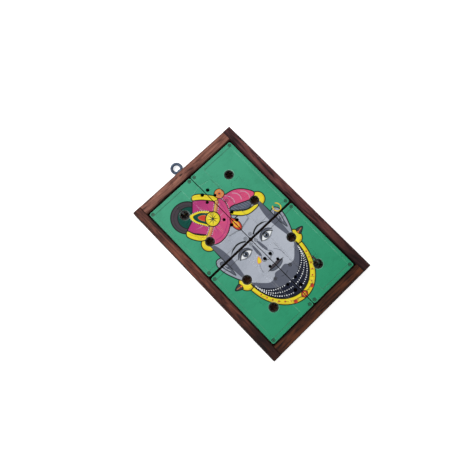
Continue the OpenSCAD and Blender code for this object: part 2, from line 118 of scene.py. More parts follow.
class KeyHolderShellSizes(bpy.types.PropertyGroup):
    paint_step: length("Paint step", "Grid step of the painted faces", 0.00034)
    paint_edge: length("Paint edge", "Softness of a brushed edge", 0.00026)
    edge_round: length("Edge round", "Rounding of the shells' outer edges", 0.0009)
    slope: length("Bulge slope", "Width of the slope around the thick part", 0.0008)
    hole_round: length("Hole round", "Rounding around a hole's rim", 0.0005)
    reel_hole: length("Reel hole", "Diameter of the reel holes", 0.0112)
    capstan_hole: length("Capstan hole", "Diameter of the capstan holes", 0.0042)
    locating_hole: length("Locating hole", "Diameter of the locating holes", 0.0036)
    screw_recess: length("Screw recess", "Diameter of the recess around a screw head", 0.0041)
    recess_depth: length("Recess depth", "Depth of that recess", 0.0014)
    window_length: length("Window length", "Length of the window cut", 0.0236)
    window_width: length("Window width", "Width of the window cut", 0.0132)
    window_gap: length("Window gap", "Gap between a pane and its cut", 0.00005)


class KeyHolderDotSizes(bpy.types.PropertyGroup):
    bead_radius: length("Bead radius", "Radius of the large white dots", 0.00072)
    bead_height: length("Bead height", "Height of the large white dots", 0.00042)
    bead_pitch: length("Bead pitch", "Distance between large white dots", 0.0026)
    seed_radius: length("Seed radius", "Radius of the small white dots", 0.00046)
    seed_height: length("Seed height", "Height of the small white dots", 0.0003)
    seed_pitch: length("Seed pitch", "Distance between small white dots", 0.0021)
    berry_radius: length("Berry radius", "Radius of the red dots of the garland", 0.00095)
    berry_height: length("Berry height", "Height of the red dots", 0.0005)


class KeyHolderPaints(bpy.types.PropertyGroup):
    green: colour("Green", "Ground colour at the top", 66, 154, 121)
    deep_green: colour("Deep green", "Ground colour at the bottom", 44, 143, 104)
    pink: colour("Pink", "Headdress", 192, 74, 119)
    magenta: colour("Magenta", "Folds of the headdress", 164, 46, 112)
    coral: colour("Coral", "Light folds of the headdress", 210, 78, 116)
    yellow: colour("Yellow", "Bands and garland", 224, 206, 44)
    ochre: colour("Ochre", "Shade on yellow", 196, 150, 44)
    ink: colour("Ink", "Outlines", 14, 20, 18)
    pale: colour("Pale grey", "Light skin", 148, 154, 166)
    shade: colour("Shade grey", "Shaded skin", 88, 92, 105)
    light: colour("Light grey", "Highlights", 182, 187, 197)
    navy: colour("Navy", "Beard bands", 26, 30, 46)
    slate: colour("Slate", "Blue grey band", 80, 88, 104)
    plum: colour("Plum", "Bun", 64, 58, 64)
    bottle: colour("Bottle green", "Middle of the bun", 0, 70, 60)
    red: colour("Red", "Ornaments", 190, 62, 44)
    orange: colour("Orange", "Ornaments", 222, 128, 60)
    tan: colour("Tan", "Sash", 190, 140, 96)
    bead: colour("Bead white", "Raised dots", 226, 229, 231)
    bare: colour("Bare plastic", "Moulding under the paint", 24, 26, 25)


class KeyHolderStage(bpy.types.PropertyGroup):
    aim_across: bpy.props.FloatProperty(
        name="Aim across", description="Aim point as a share of the frame's width from its middle", default=-0.0647
    )
    aim_along: bpy.props.FloatProperty(
        name="Aim along", description="Aim point as a share of the frame's height from its middle", default=0.0542
    )
    azimuth: angle("Azimuth", "Direction of the camera from the aim point", -135.9)
    elevation: angle("Elevation", "Height of the camera above the table", 78.46)
    distance: length("Distance", "Camera to aim point", 0.6229)
    roll: angle("Roll", "Turn of the camera about its view", 2.02)
    lens: bpy.props.FloatProperty(name="Lens", description="Focal length in millimetres", default=41.77, min=1.0)
    floor_size: length("Floor size", "Side of the floor", 6.0)
    floor_colour: colour("Floor", "Colour of the floor", 250, 250, 250)


# ---------------------------------------------------------------- drawing with a brush, in millimetres


def ease(low, high, value):
    t = np.clip((value - low) / (high - low), 0.0, 1.0)
    return t * t * (3.0 - 2.0 * t)


def spline(points, closed=False, steps=6):
    """Smooth line through points, as an array."""
    p = np.array(points, float)
    n = len(p)
    count = n if closed else n - 1
    out = []
    for i in range(count):
        if closed:
            a, b, c, d = p[(i - 1) % n], p[i], p[(i + 1) % n], p[(i + 2) % n]
        else:
            a, b, c, d = p[max(i - 1, 0)], p[i], p[i + 1], p[min(i + 2, n - 1)]
        for t in np.arange(steps) / steps:
            out.append(
                0.5 * (2 * b + (c - a) * t + (2 * a - 5 * b + 4 * c - d) * t * t + (3 * b - a - 3 * c + d) * t ** 3)
            )
    if not closed:
        out.append(p[-1])
    return np.array(out)


def arc(centre, half_width, half_height, start, stop, steps=40):
    """Part of an ellipse; angles in degrees."""
    t = np.radians(np.linspace(start, stop, steps + 1))
    return np.stack([centre[0] + half_width * np.cos(t), centre[1] + half_height * np.sin(t)], 1)

def side(sign, points):
    """Points on the right side for 1, mirrored to the left for -1."""
    return [(sign * x, y) for x, y in points]


def whole(half):
    """A closed shape from its right half, which starts and ends on the middle line."""
    return half + side(-1, half)[-2:0:-1]


def scaled(points, share, centre):
    """A shape drawn smaller or larger around a point."""
    return (np.array(points, float) - centre) * share + centre


def around(centre, radius, turn):
    """The point at a distance and an angle from a centre."""
    return centre[0] + radius * math.cos(turn), centre[1] + radius * math.sin(turn)


def along(path, pitch, offset=0.0):
    """Points at even distances along a path."""
    step = np.linalg.norm(np.diff(path, axis=0), axis=1)
    run = np.concatenate([[0.0], np.cumsum(step)])
    at = np.arange(offset, run[-1], pitch)
    return np.stack([np.interp(at, run, path[:, k]) for k in (0, 1)], 1)


def measure(points, path, closed):
    """Distance of points to a path, and whether each is inside it."""
    x, y = points.T
    best = np.full(len(points), 1e9)
    inside = np.zeros(len(points), bool)
    ends = np.roll(path, -1, 0) if closed else path[1:]
    for (ax, ay), (bx, by) in zip(path, ends):
        dx, dy = bx - ax, by - ay
        t = np.clip(((x - ax) * dx + (y - ay) * dy) / max(dx * dx + dy * dy, 1e-9), 0, 1)
        best = np.minimum(best, (x - ax - t * dx) ** 2 + (y - ay - t * dy) ** 2)
        if closed and ay != by:
            inside ^= ((ay > y) != (by > y)) & (x < dx * (y - ay) / dy + ax)
    return np.sqrt(best), inside


class Canvas:
    """Colours of points in the plane, painted over one another with named paints."""

    def __init__(self, points, paints, edge):
        self.points, self.paints, self.edge = points, paints, edge
        rise = np.clip((points[:, 1] + 100) / 200, 0, 1)[:, None]
        self.colour = paints["deep_green"] * (1 - rise) + paints["green"] * rise

    def near(self, path, margin):
        low, high = path.min(0) - margin, path.max(0) + margin
        return np.where(((self.points >= low) & (self.points <= high)).all(1))[0]

    def lay(self, which, far, tone, cover=1.0):
        cover = (cover * (1 - ease(-self.edge, self.edge, far)))[:, None]
        self.colour[which] = self.colour[which] * (1 - cover) + tone * cover

    def fill(self, path, paint, rim=None, rim_width=0.75, toward=None, start=None, stop=None):
        """A closed shape, plain or fading toward a second paint, with an outline."""
        path = np.asarray(path, float)
        which = self.near(path, 2.0)
        if not len(which):
            return
        far, inside = measure(self.points[which], path, True)
        tone = self.paints[paint]
        if toward is not None:
            a, b = np.array(start, float), np.array(stop, float)
            t = np.clip((self.points[which] - a) @ (b - a) / ((b - a) @ (b - a)), 0, 1)[:, None]
            tone = tone * (1 - t) + self.paints[toward] * t
        self.lay(which, np.where(inside, -far, far), tone)
        if rim is not None:
            self.lay(which, far - OUTLINE_WEIGHT * rim_width / 2, self.paints[rim])

    def stroke(self, path, width, paint, closed=False, taper=0.0, cover=1.0):
        """A line that thins out toward its end over the taper's length."""
        path = np.asarray(path, float)
        which = self.near(path, width + 1.0)
        if not len(which):
            return
        far, _ = measure(self.points[which], path, closed)
        if taper:
            tail = np.linalg.norm(self.points[which] - path[-1], axis=1)
            width = width * np.clip(tail / taper, 0.15, 1.0)
        self.lay(which, far - width / 2, self.paints[paint], cover)

    def blob(self, points, *looks, **more):
        """A smooth closed shape."""
        self.fill(spline(points, True), *looks, **more)

    def line(self, points, *looks, **more):
        """A smooth open line."""
        self.stroke(spline(points), *looks, **more)

    def disc(self, centre, radius, *looks):
        self.fill(arc(centre, radius, radius, 0, 352, 44), *looks)


# The picture, in millimetres on the front: x to the right, y towards the hanging ring.

HEAD = [(38, 30), (39, 10), (38, -10), (36, -28), (31, -43), (22, -55), (11, -62.5), (0, -64.5)]
EAR = [(37, 4), (41, 8.5), (46, 8.5), (49, 3), (48, -7), (45, -16), (41, -25), (37, -28)]
EAR_HOLLOW = [(38.5, -2), (41, 3.5), (44.5, 4), (45.5, -1), (43.5, -9), (40.5, -18)]
TEMPLE = [(38.2, 29), (34, 22), (31.5, 10), (31, -2), (32.5, -16), (35, -29), (37.6, -20), (38.6, 8)]
LID = [(7.4, -8.8), (9.5, -4.2), (15.5, -1.2), (22.5, -2.6), (26.6, -8), (22, -5.9), (16, -4.6), (11.5, -5.8)]
EYE = [(8.2, -9.6), (11.6, -6.4), (16, -4.9), (20.6, -6.1), (24.4, -9.1), (20.2, -11.6), (15.4, -12.5), (11, -11.6)]
NOSE = [(4.4, 1.6), (3.3, -5), (3.1, -14), (4.0, -21), (6.9, -24.8), (7.4, -28.2), (5.2, -29.8), (2.4, -29.2)]
BEARD = [
    (0, -47.2), (7, -46.5), (12, -50), (19, -50), (27, -43), (34, -36), (32.5, -44), (22.5, -55.5), (11, -63), (0, -65)
]
FAN = [
    (-17, 78.8), (-25, 71), (-34, 62), (-46, 56), (-38, 45), (-32, 36), (-35, 26), (-27, 21.5), (-15, 22.5), (-7, 27),
    (0, 32), (4, 38), (7, 45), (9, 52), (8, 59), (3, 62), (-5, 69), (-13, 77),
]
RIGHT_BAND = [(-17, 79.2), (-13.2, 83), (-6, 79), (0, 72), (4, 67), (6.5, 62), (2.5, 59), (-2, 64), (-9, 72)]
LEFT_BAND = [(-50, 53), (-45.5, 57), (-42, 49), (-36, 41), (-30.5, 36.5), (-36, 34.5), (-42.5, 38), (-48, 46)]
LOBE = [
    (7, 59), (15, 58.5), (25, 56.5), (33, 51.5), (39, 44), (41.5, 37), (35, 34), (28, 36), (19, 40), (10, 43), (5, 42)
]
SLATE_BAND = [(5, 42), (12, 42.5), (19, 40), (30, 35), (31, 30), (23, 28), (14, 34), (9, 38)]
UNDER_BAND = [(2, 38), (6, 39), (14, 32.5), (23, 27.5), (34, 26), (34, 22.5), (27, 22), (19, 23), (12, 26.5), (6, 33)]
ALMOND = [
    (-32, 69), (-25, 67.5), (-18, 64), (-12.5, 58), (-10, 53), (-13, 48), (-23, 43), (-28, 49), (-32.5, 57), (-34, 64)
]
SASH = [(-33, 35), (-24, 40), (-14, 46.5), (-6, 52), (2, 58.5)]
DROP = [(0, 34), (3.4, 29), (4.6, 23.5), (3.2, 18), (0, 15.5), (-3.2, 18), (-4.6, 23.5), (-3.4, 29)]
BUN, BUN_CORE = (-34.9, 68.6), (-33.6, 67.2)
ROSETTE, SMALL_ROSETTE = (-15, 47), (10.9, 63.6)
ALMOND_MIDDLE = (-23.0, 56.5)
BEADS_MIDDLE, BEAD_DROPS = (0, -40), (25.2, 31.4, 37.8)
GARLAND_MIDDLE = (0, -38)


def draw_bun(canvas):
    canvas.disc(BUN, 19.0, "plum", "ink", 0.9)
    for k in range(9):
        radius = 14.4 + 0.45 * k
        canvas.stroke(arc(BUN, radius, radius, 40 * k, 40 * k + 95), 0.5, "ink", cover=0.3)
    canvas.disc(BUN_CORE, 12.9, "bottle", "ink", 0.6)
    for k in range(10):
        fold = [around(BUN_CORE, reach, math.radians(36 * k)) for reach in (6.4, 12)]
        canvas.stroke(fold, 0.7, "ink", taper=6, cover=0.4)


def draw_discs(canvas):
    """Yellow discs of the earrings and headdress, half covered by what is painted later."""
    for centre, radius in (((-37.6, 29.2), 8.9), ((38.9, 29.0), 8.7), ((-37.4, -32.4), 9.2), ((37.4, -32.4), 9.2)):
        canvas.disc(centre, radius, "yellow", "ink", 0.9)
        first = 180 if centre[0] < 0 else 210
        canvas.stroke(arc(centre, radius - 1.5, radius - 1.5, first, first + 150, 20), 0.8, "ochre", cover=0.7)


def draw_head(canvas):
    for s in (1, -1):
        canvas.blob(side(s, EAR), "pale", "ink", 0.9)
        canvas.blob(side(s, EAR_HOLLOW), "shade", "ink", 0.5)
        canvas.line(side(s, [(40.5, -4), (42.5, 0), (43.5, -4), (41.5, -10)]), 0.6, "light")
    canvas.fill([(-24, 28), (24, 28), (12, 41), (-8, 41)], "pale")
    outline = spline(HEAD + side(-1, HEAD)[-2::-1])
    canvas.fill(outline, "pale", "ink", 1.0, toward="light", start=(-60, 40), stop=(60, -60))
    for s in (1, -1):
        canvas.blob(side(s, TEMPLE), "shade")
    canvas.blob(whole(BEARD), "shade")


def draw_features(canvas):
    for s in (1, -1):
        canvas.blob(side(s, LID), "shade")
        canvas.blob(side(s, EYE), "bead", "ink", 0.5)
        canvas.disc((s * 16.2, -8.5), 3.1, "slate", "ink", 0.5)
        canvas.disc((s * 16.2, -8.5), 1.5, "ink")
        canvas.disc((s * 16.2 - 1.1, -7.3), 0.55, "bead")
        canvas.line(side(s, [(7.6, -10), (11.6, -6.1), (16, -4.6), (20.6, -5.8), (25.2, -9.4)]), 1.2, "ink")
        canvas.line(side(s, [(8.8, -5.4), (15.5, -1.9), (22.6, -3.4), (26.4, -7.4)]), 0.55, "ink")
        canvas.line(side(s, [(10.8, -12.2), (15.4, -13.6), (20.6, -12.6)]), 0.45, "shade")
        canvas.line(side(s, [(6.6, 2.6), (11, 5), (17, 6.2), (24, 4.6), (29.5, 1.6)]), 1.9, "ink", taper=9)
        canvas.line(side(s, NOSE), 0.65, "ink", cover=0.9)
        canvas.blob(side(s, [(3.4, -4), (3.2, -15), (4.2, -21.5), (6.4, -20), (5.6, -10)]), "shade")
        canvas.disc((s * 3.9, -28.6), 0.8, "ink")
        canvas.line(side(s, [(11.2, -25.5), (14.8, -31), (16.2, -37)]), 0.5, "shade")
    canvas.line([(0, 1), (0, -12), (0, -22)], 1.7, "light", taper=8)
    canvas.line([(-2.6, -30.2), (0, -31.2), (2.6, -30.2)], 0.6, "ink")
    upper = [(0, -38.2), (2.4, -37.4), (6, -38.4), (11.2, -40.4), (6, -40.8), (0, -41.2)]
    lower = [(0, -41.3), (6, -41), (9.6, -40.9), (6.4, -43.8), (0, -45)]
    canvas.fill(spline(whole(upper), True, 4), "plum")
    canvas.fill(spline(whole(lower), True, 4), "shade", "ink", 0.35)
    canvas.line([(-11.6, -40.2), (-6, -40.8), (0, -41.3), (6, -40.8), (11.6, -40.2)], 0.7, "ink")
    canvas.line([(-4.6, -54.4), (0, -55.6), (4.6, -54.4)], 0.6, "ink", cover=0.7)
    leaf = [(-13.5, -26), (-11.5, -22.5), (-8, -20.5), (-8.2, -24), (-10, -27)]
    canvas.blob(leaf, "yellow", "orange", 0.5)


def draw_beard(canvas):
    inner = arc((0, -36), 35.4, 12, 180, 360)
    outer = arc(GARLAND_MIDDLE, 35.6, 44.2, 360, 180)
    canvas.fill(np.concatenate([inner, outer]), "navy", "ink", 0.6)


def draw_garland(canvas):
    inner = arc(GARLAND_MIDDLE, 35.2, 43.8, 184, 356, 60)
    outer = arc(GARLAND_MIDDLE, 40.2, 52, 356, 184, 60)
    canvas.fill(np.concatenate([inner, outer]), "yellow", "ink", 0.9)
    canvas.stroke(arc(GARLAND_MIDDLE, 38.8, 50.2, 188, 352, 60), 0.8, "ochre", cover=0.6)
    for s in (1, -1):
        for k in range(6):
            at = math.radians(-90 + s * (9.5 + 11.5 * k))
            x, y = 37.7 * math.cos(at), -38 + 48 * math.sin(at)
            canvas.stroke([(x - 1.3, y + 1.2), (x + 1.3, y - 1.2)], 0.6, "ink", cover=0.6)
    canvas.blob([(0, -82), (4.2, -85.8), (0, -90.2), (-4.2, -85.8)], "red", "ink", 0.6)
    canvas.disc((0, -86), 1.5, "orange", "yellow", 0.5)
    for s in (1, -1):
        canvas.blob(side(s, [(12.6, -82.8), (15.4, -84.6), (12.8, -87.4), (10.6, -85.4)]), "red")


def draw_headdress(canvas):
    canvas.blob(UNDER_BAND, "yellow", "ink", 0.9)
    canvas.blob(SLATE_BAND, "slate", "ink", 0.8)
    for k in range(7):
        x = 9 + 3.1 * k
        canvas.stroke([(x, 41.5 - 0.8 * k), (x + 1.6, 35 - 0.8 * k)], 0.4, "light", cover=0.4)
    canvas.blob(LOBE, "pink", "ink", 0.9, toward="coral", start=(8, 58), stop=(44, 34))
    for k in range(3):
        x = 14 + 8.5 * k
        top = 57.6 - 0.04 * (x - 10) ** 1.75
        fold = [(x, top), (x + 3.4, top - 4), (x + 4.2, top - 9), (x + 2.6, top - 13)]
        canvas.line(fold, 0.6, "light", cover=0.8)
        canvas.line([(x + 4.5, top - 1.5), (x + 6.6, top - 6)], 0.9, "magenta", taper=6, cover=0.5)
    canvas.blob(FAN, "magenta", "ink", 0.9, toward="pink", start=(-28, 72), stop=(-4, 38))
    fan = spline(FAN, True)
    for k in range(30):
        turn = math.radians(-118 + 12.2 * k)
        a = np.array(around(ROSETTE, 9.5, turn))
        b = np.array(around(ROSETTE, 19 + 7 * math.sin(2.3 * k), turn + 0.1))
        if measure(b[None], fan, True)[1][0]:
            middle = (a + b) / 2 + (b - a)[::-1] * np.array((-0.08, 0.08))
            width, paint = ((1.2, "magenta"), (1.0, "coral"), (0.5, "light"))[k % 3]
            canvas.line([a, middle, b], width, paint, taper=9, cover=0.75)
    canvas.line([(-31, 27), (-20, 25.5), (-9, 30), (-1, 37), (3, 46), (4.5, 55)], 0.7, "magenta")
    canvas.blob(RIGHT_BAND, "yellow", "ink", 0.9)
    canvas.blob(LEFT_BAND, "yellow", "ink", 0.9)
    canvas.line([(-15, 82), (-8, 76.5), (-1, 69), (4, 62.5)], 0.7, "ochre", cover=0.7)
    canvas.line([(-47, 53.5), (-43, 46), (-38, 39.5), (-33, 36)], 0.7, "ochre", cover=0.7)
    canvas.line(SASH, 4.8, "ink")
    canvas.line(SASH, 3.8, "tan")
    canvas.line(np.array(SASH) + (-0.6, 1.0), 0.6, "yellow")
    canvas.line(np.array(SASH) + (0.6, -1.0), 0.6, "red")
    canvas.blob(scaled(ALMOND, 0.95, ALMOND_MIDDLE), "yellow", "ink", 0.6)
    canvas.blob(scaled(ALMOND, 0.66, ALMOND_MIDDLE), "bottle", "ink", 0.5)
    canvas.blob(scaled(ALMOND, 0.36, np.array(ALMOND_MIDDLE) + (1.2, -1.2)), "red", "orange", 0.3)
    canvas.disc(ROSETTE, 8.4, "yellow", "ink", 0.9)
    canvas.stroke(arc(ROSETTE, 6.6, 6.6, 0, 360, 40), 0.5, "ochre", closed=True, cover=0.6)
    for k in range(8):
        spoke = [around(ROSETTE, reach, math.radians(45 * k + 8)) for reach in (1.2, 6.6)]
        canvas.stroke(spoke, 0.85, "ink", taper=3.5)
    canvas.disc(ROSETTE, 1.3, "ink")
    canvas.disc(SMALL_ROSETTE, 5.8, "orange", "ink", 0.7)
    for k in range(8):
        turn = math.radians(45 * k)
        canvas.disc(around(SMALL_ROSETTE, 3.4, turn), 1.2, "tan")
        canvas.stroke([SMALL_ROSETTE, around(SMALL_ROSETTE, 4.6, turn)], 0.5, "red", taper=2.5, cover=0.8)
    canvas.disc(SMALL_ROSETTE, 1.1, "plum")
    canvas.blob(DROP, "red", "ink", 0.7)
    canvas.blob(scaled(DROP, 0.5, (0, 24)), "orange", "yellow", 0.5)


def draw_jewels(canvas):
    for s in (1, -1):
        tip = side(s, [(44.6, -28.4), (47.5, -27.4), (53.2, -30), (48, -33.6), (44.8, -34)])
        canvas.fill(spline(tip, True, 4), "plum", "ink", 0.8)
        canvas.stroke(side(s, [(45.6, -31), (50.6, -30.2)]), 0.6, "orange")
        canvas.disc((s * 45, -31.1), 1.3, "orange", "ink", 0.4)
    canvas.stroke(arc((48, 6.6), 4.4, 5.2, 130, 420, 30), 1.4, "ochre")
    canvas.stroke(arc((48, 6.6), 4.4, 5.2, 140, 410, 30), 0.7, "yellow")


def picture(points, paints, edge):
    """Colour of each point of the front, from its place in millimetres."""
    canvas = Canvas(points, {name: np.array(getattr(paints, name)) for name in KeyHolderPaints.__annotations__}, edge)
    for draw in (
        draw_bun, draw_discs, draw_beard, draw_head, draw_features, draw_garland, draw_headdress, draw_jewels,
    ):
        draw(canvas)
    return canvas.colour


# ---------------------------------------------------------------- painted faces


def rounded_box(dx, dy, half_x, half_y, radius):
    """Signed distance to a rounded box from offsets to its middle; the halves leave out the rounding."""
    qx, qy = np.abs(dx) - half_x, np.abs(dy) - half_y
    return np.hypot(np.maximum(qx, 0), np.maximum(qy, 0)) + np.minimum(np.maximum(qx, qy), 0) - radius


class Cassette:
    """One cassette's own axes: lx along its tape edge, ly away from the seam, in millimetres."""

    def __init__(self, name, side, row, sizes):
        self.name, self.side, self.row, self.sizes = name, side, row, sizes
        low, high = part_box(f"{name}_front_shell")
        self.low, self.high = np.array(low) / MM, np.array(high) / MM
        self.seam = min(abs(self.low[0]), abs(self.high[0]))
        self.middle = (self.low[1] + self.high[1]) / 2
        self.length, self.width = self.high[1] - self.low[1], self.high[0] - self.low[0]
        self.parting, self.front = self.low[2], self.high[2]
        self.face = self.front - THICK_PART
        self.cut = self.face - FACE_SKIN
        self.reels = [tuple(self.local(self.middle_of(f"{name}_{end}_spool"))) for end in ("upper", "lower")]
        reel = self.reels[0][1]
        self.holes = [(x, y, sizes.reel_hole / MM / 2, self.cut) for x, y in self.reels]
        for (across, up), size in ((CAPSTAN_HOLES, sizes.capstan_hole), (LOCATING_HOLES, sizes.locating_hole)):
            self.holes += [(s * across, up, size / MM / 2, self.cut) for s in (-1, 1)]
        recess, depth = sizes.screw_recess / MM / 2, sizes.recess_depth / MM
        self.holes += [(s * CORNER_SCREWS, y, recess, self.face - depth) for s in (-1, 1) for y in CORNER_SCREW_UPS]
        self.holes += [(0.0, MIDDLE_SCREW_UP, recess, self.front - depth)]
        self.window = (sizes.window_length / MM / 2, reel, sizes.window_width / MM / 2)

    def middle_of(self, node):
        low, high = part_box(node)
        return (np.array(low) + np.array(high))[:2] / 2 / MM

    def local(self, point):
        x, y = point
        return (y - self.middle) * -self.side, abs(x) - self.seam

    def world(self, lx, ly):
        return self.side * (self.seam + ly), self.middle - self.side * lx

    def outline(self, lx, ly):
        """Signed distance to the outline, negative inside."""
        return rounded_box(lx, ly - self.width / 2, self.length / 2 - CORNER, self.width / 2 - CORNER, CORNER)

    def bulge(self, lx, ly):
        """Signed distance to the edge of the thick part, negative inside."""
        lean = (np.abs(lx) - (BULGE_HALF - BULGE_LEAN * ly)) * BULGE_COSINE
        return np.maximum(lean, ly - BULGE_TOP)

    def label(self, lx, ly):
        """How far a point is outside the label's short and long edges."""
        return np.abs(lx) - LABEL_EDGE[0], np.abs(ly - LABEL_MIDDLE) - LABEL_EDGE[1]

    def worn(self, lx, ly):
        """Painted highlight along the moulded edges and around the reel holes, from 0 to 1."""
        steps = (self.bulge(lx, ly) + 0.35, np.maximum(*self.label(lx, ly)), self.outline(lx, ly) + 0.5)
        patch = 0.55 + 0.45 * np.sin(lx * 0.31 + 2.1 * self.row) * np.sin(ly * 0.23 + lx * 0.11 + self.side)
        line = sum(share * np.exp(-(step / 0.42) ** 2) for step, share in zip(steps, (1.6, 0.7, 0.45)))
        rims = sum(np.exp(-((np.hypot(lx - x, ly - y) - r - 0.4) / 0.4) ** 2) for x, y, r, _ in self.holes[:2])
        return np.clip((0.3 * line + 0.6 * rims) * patch, 0, 0.6)

    def painted_recess_shadow(self, lx, ly):
        """Painted shadow along the short sides of the label recess, from 0 to 1."""
        across, up = self.label(lx, ly)
        return np.where(across > up, 0.5 * np.exp(-((across + 0.15) / 0.38) ** 2), 0.0) * (up < 0)

    def height(self, lx, ly):
        """Height of the painted face."""
        slope = self.sizes.slope / MM
        z = self.face + (self.front - self.face) * (1 - ease(-slope, 0, self.bulge(lx, ly)))
        z = z - LABEL_DEPTH * ease(0, 0.45, -rounded_box(lx, ly - LABEL_MIDDLE, *LABEL_SINK))
        r = self.sizes.edge_round / MM
        deep = np.clip(-self.outline(lx, ly), 0, r)
        z = z - (r - np.sqrt(np.maximum(r * r - (r - deep) ** 2, 0)))
        soft = self.sizes.hole_round / MM
        for x, y, radius, _ in self.holes:
            rim = np.clip(np.hypot(lx - x, ly - y) - radius, 0, soft)
            z = z - 0.55 * (soft - np.sqrt(np.maximum(soft * soft - (soft - rim) ** 2, 0)))
        wx, wy, wh = self.window
        edge = np.maximum(np.abs(lx) - wx, np.abs(ly - wy) - wh)
        return z - 0.12 * (1 - ease(0, 0.35, np.abs(edge)))


def even_lines(low, high, step, fixed):
    """Grid lines from low to high that pass through the fixed values."""
    plain = np.linspace(low, high, int(round((high - low) / step)) + 1)
    keep = [v for v in plain if min(abs(v - f) for f in fixed) > 0.45 * step]
    return np.array(sorted(keep + list(fixed)))


def shell_plate(cassette, step):
    """The front face with its holes: points, faces and the depth of each rim."""
    L, W = cassette.length / 2, cassette.width
    wx, wy, wh = cassette.window
    fine = [0, 0.09, 0.24, 0.46, 0.76]
    xs = even_lines(-L, L, step, [-L + f for f in fine] + [L - f for f in fine] + [-wx, wx])
    slope = [BULGE_TOP, BULGE_TOP - 0.4, BULGE_TOP - 0.8]
    ys = even_lines(0, W, step, fine + [W - f for f in fine] + slope + [wy - wh, wy + wh])

    def inside(x, y):
        keep = cassette.outline(x, y) < 0
        for hx, hy, radius, _ in cassette.holes:
            keep &= np.hypot(x - hx, y - hy) > radius
        return keep & ~((np.abs(x) < wx) & (np.abs(y - wy) < wh))

    def settle(x, y):
        depth = np.full(len(x), cassette.cut)
        for hx, hy, radius, bottom in cassette.holes:
            far = np.hypot(x - hx, y - hy)
            at = (far < radius + 1.1 * step) & (cassette.outline(x, y) < -0.05)
            x[at] = hx + (x[at] - hx) * radius / far[at]
            y[at] = hy + (y[at] - hy) * radius / far[at]
            depth[at] = bottom
        qx, qy = np.abs(x) - (L - CORNER), np.abs(y - W / 2) - (W / 2 - CORNER)
        at = (qx > 0) & (qy > 0) & (cassette.outline(x, y) > -2 * step)
        far = np.hypot(qx[at], qy[at])
        x[at] = np.sign(x[at]) * (L - CORNER + qx[at] * CORNER / far)
        y[at] = W / 2 + np.sign(y[at] - W / 2) * (W / 2 - CORNER + qy[at] * CORNER / far)
        return depth

    return lattice(xs, ys, inside, settle, cassette.height)


def pane_plate(cassette, step):
    wx, wy, wh = cassette.window
    gap = cassette.sizes.window_gap / MM
    xs = even_lines(-wx + gap, wx - gap, step, [-wx + gap, -wx + gap + 0.12, wx - gap - 0.12, wx - gap])
    bottom, top_edge = wy - wh + gap, wy + wh - gap
    ys = even_lines(bottom, top_edge, step, [bottom, bottom + 0.12, top_edge - 0.12, top_edge])
    top = cassette.face - LABEL_DEPTH

    def height(x, y):
        edge = np.maximum(np.abs(x) - wx, np.abs(y - wy) - wh) + gap
        return top - 0.1 * (1 - ease(0, 0.25, -edge))

    return lattice(xs, ys, lambda x, y: np.ones_like(x, bool), lambda x, y: np.full(len(x), top - WALL_PAINT), height)


def lattice(xs, ys, inside, settle, height):
    """A grid cut to shape, with walls down to each rim's depth."""
    X, Y = np.meshgrid(xs, ys, indexing="ij")
    keep = inside((X[1:, 1:] + X[:-1, :-1]) / 2, (Y[1:, 1:] + Y[:-1, :-1]) / 2)
    pad = np.pad(keep, 1).astype(int)
    count = pad[:-1, :-1] + pad[1:, :-1] + pad[:-1, 1:] + pad[1:, 1:]
    number = np.full(X.shape, -1)
    number[count > 0] = np.arange((count > 0).sum())
    x, y = X[count > 0], Y[count > 0]
    rim = (count > 0) & (count < 4)
    which = number[rim]
    rx, ry = x[which], y[which]
    depth = settle(rx, ry)
    x[which], y[which] = rx, ry
    top = np.stack([x, y, height(x, y)], 1)
    i, j = np.where(keep)
    quads = np.stack([number[i, j], number[i + 1, j], number[i + 1, j + 1], number[i, j + 1]], 1)
    edges = []
    for di, dj, a, b in ((0, -1, 0, 1), (1, 0, 1, 2), (0, 1, 2, 3), (-1, 0, 3, 0)):
        bare = pad[i + 1 + di, j + 1 + dj] == 0
        edges.append(quads[bare][:, [a, b]])
    edges = np.concatenate(edges)
    middle = {int(v): len(top) + k for k, v in enumerate(which)}
    bottom = {int(v): len(top) + len(which) + k for k, v in enumerate(which)}
    mid_points = top[which]
    mid_points[:, 2] = np.maximum(mid_points[:, 2] - WALL_PAINT, depth + 0.05)
    low_points = np.stack([rx, ry, depth], 1)
    points = np.concatenate([top, mid_points, low_points])
    faces = quads.tolist()
    for a, b in edges.tolist():
        faces.append([a, middle[a], middle[b], b])
        faces.append([middle[a], bottom[a], bottom[b], middle[b]])
    rims = [(bottom[a], bottom[b]) for a, b in edges.tolist()]
    return points, faces, rims, len(top)


def lower_part(bm, node, height):
    """Adds what a CAD piece has below a height, closed there."""
    part = bmesh.new()
    part.from_mesh(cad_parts[node].data)
    bmesh.ops.remove_doubles(part, verts=part.verts, dist=2e-6)
    geometry = part.verts[:] + part.edges[:] + part.faces[:]
    above = {"plane_co": (0, 0, height), "plane_no": (0, 0, 1), "clear_outer": True}
    bmesh.ops.bisect_plane(part, geom=geometry, dist=1e-7, **above)
    open_edges = [e for e in part.edges if e.is_boundary]
    bmesh.ops.triangle_fill(part, use_beauty=True, edges=open_edges, normal=(0, 0, 1))
    copy = bpy.data.meshes.new("lower part")
    part.to_mesh(copy)
    part.free()
    bm.from_mesh(copy)
    bpy.data.meshes.remove(copy)


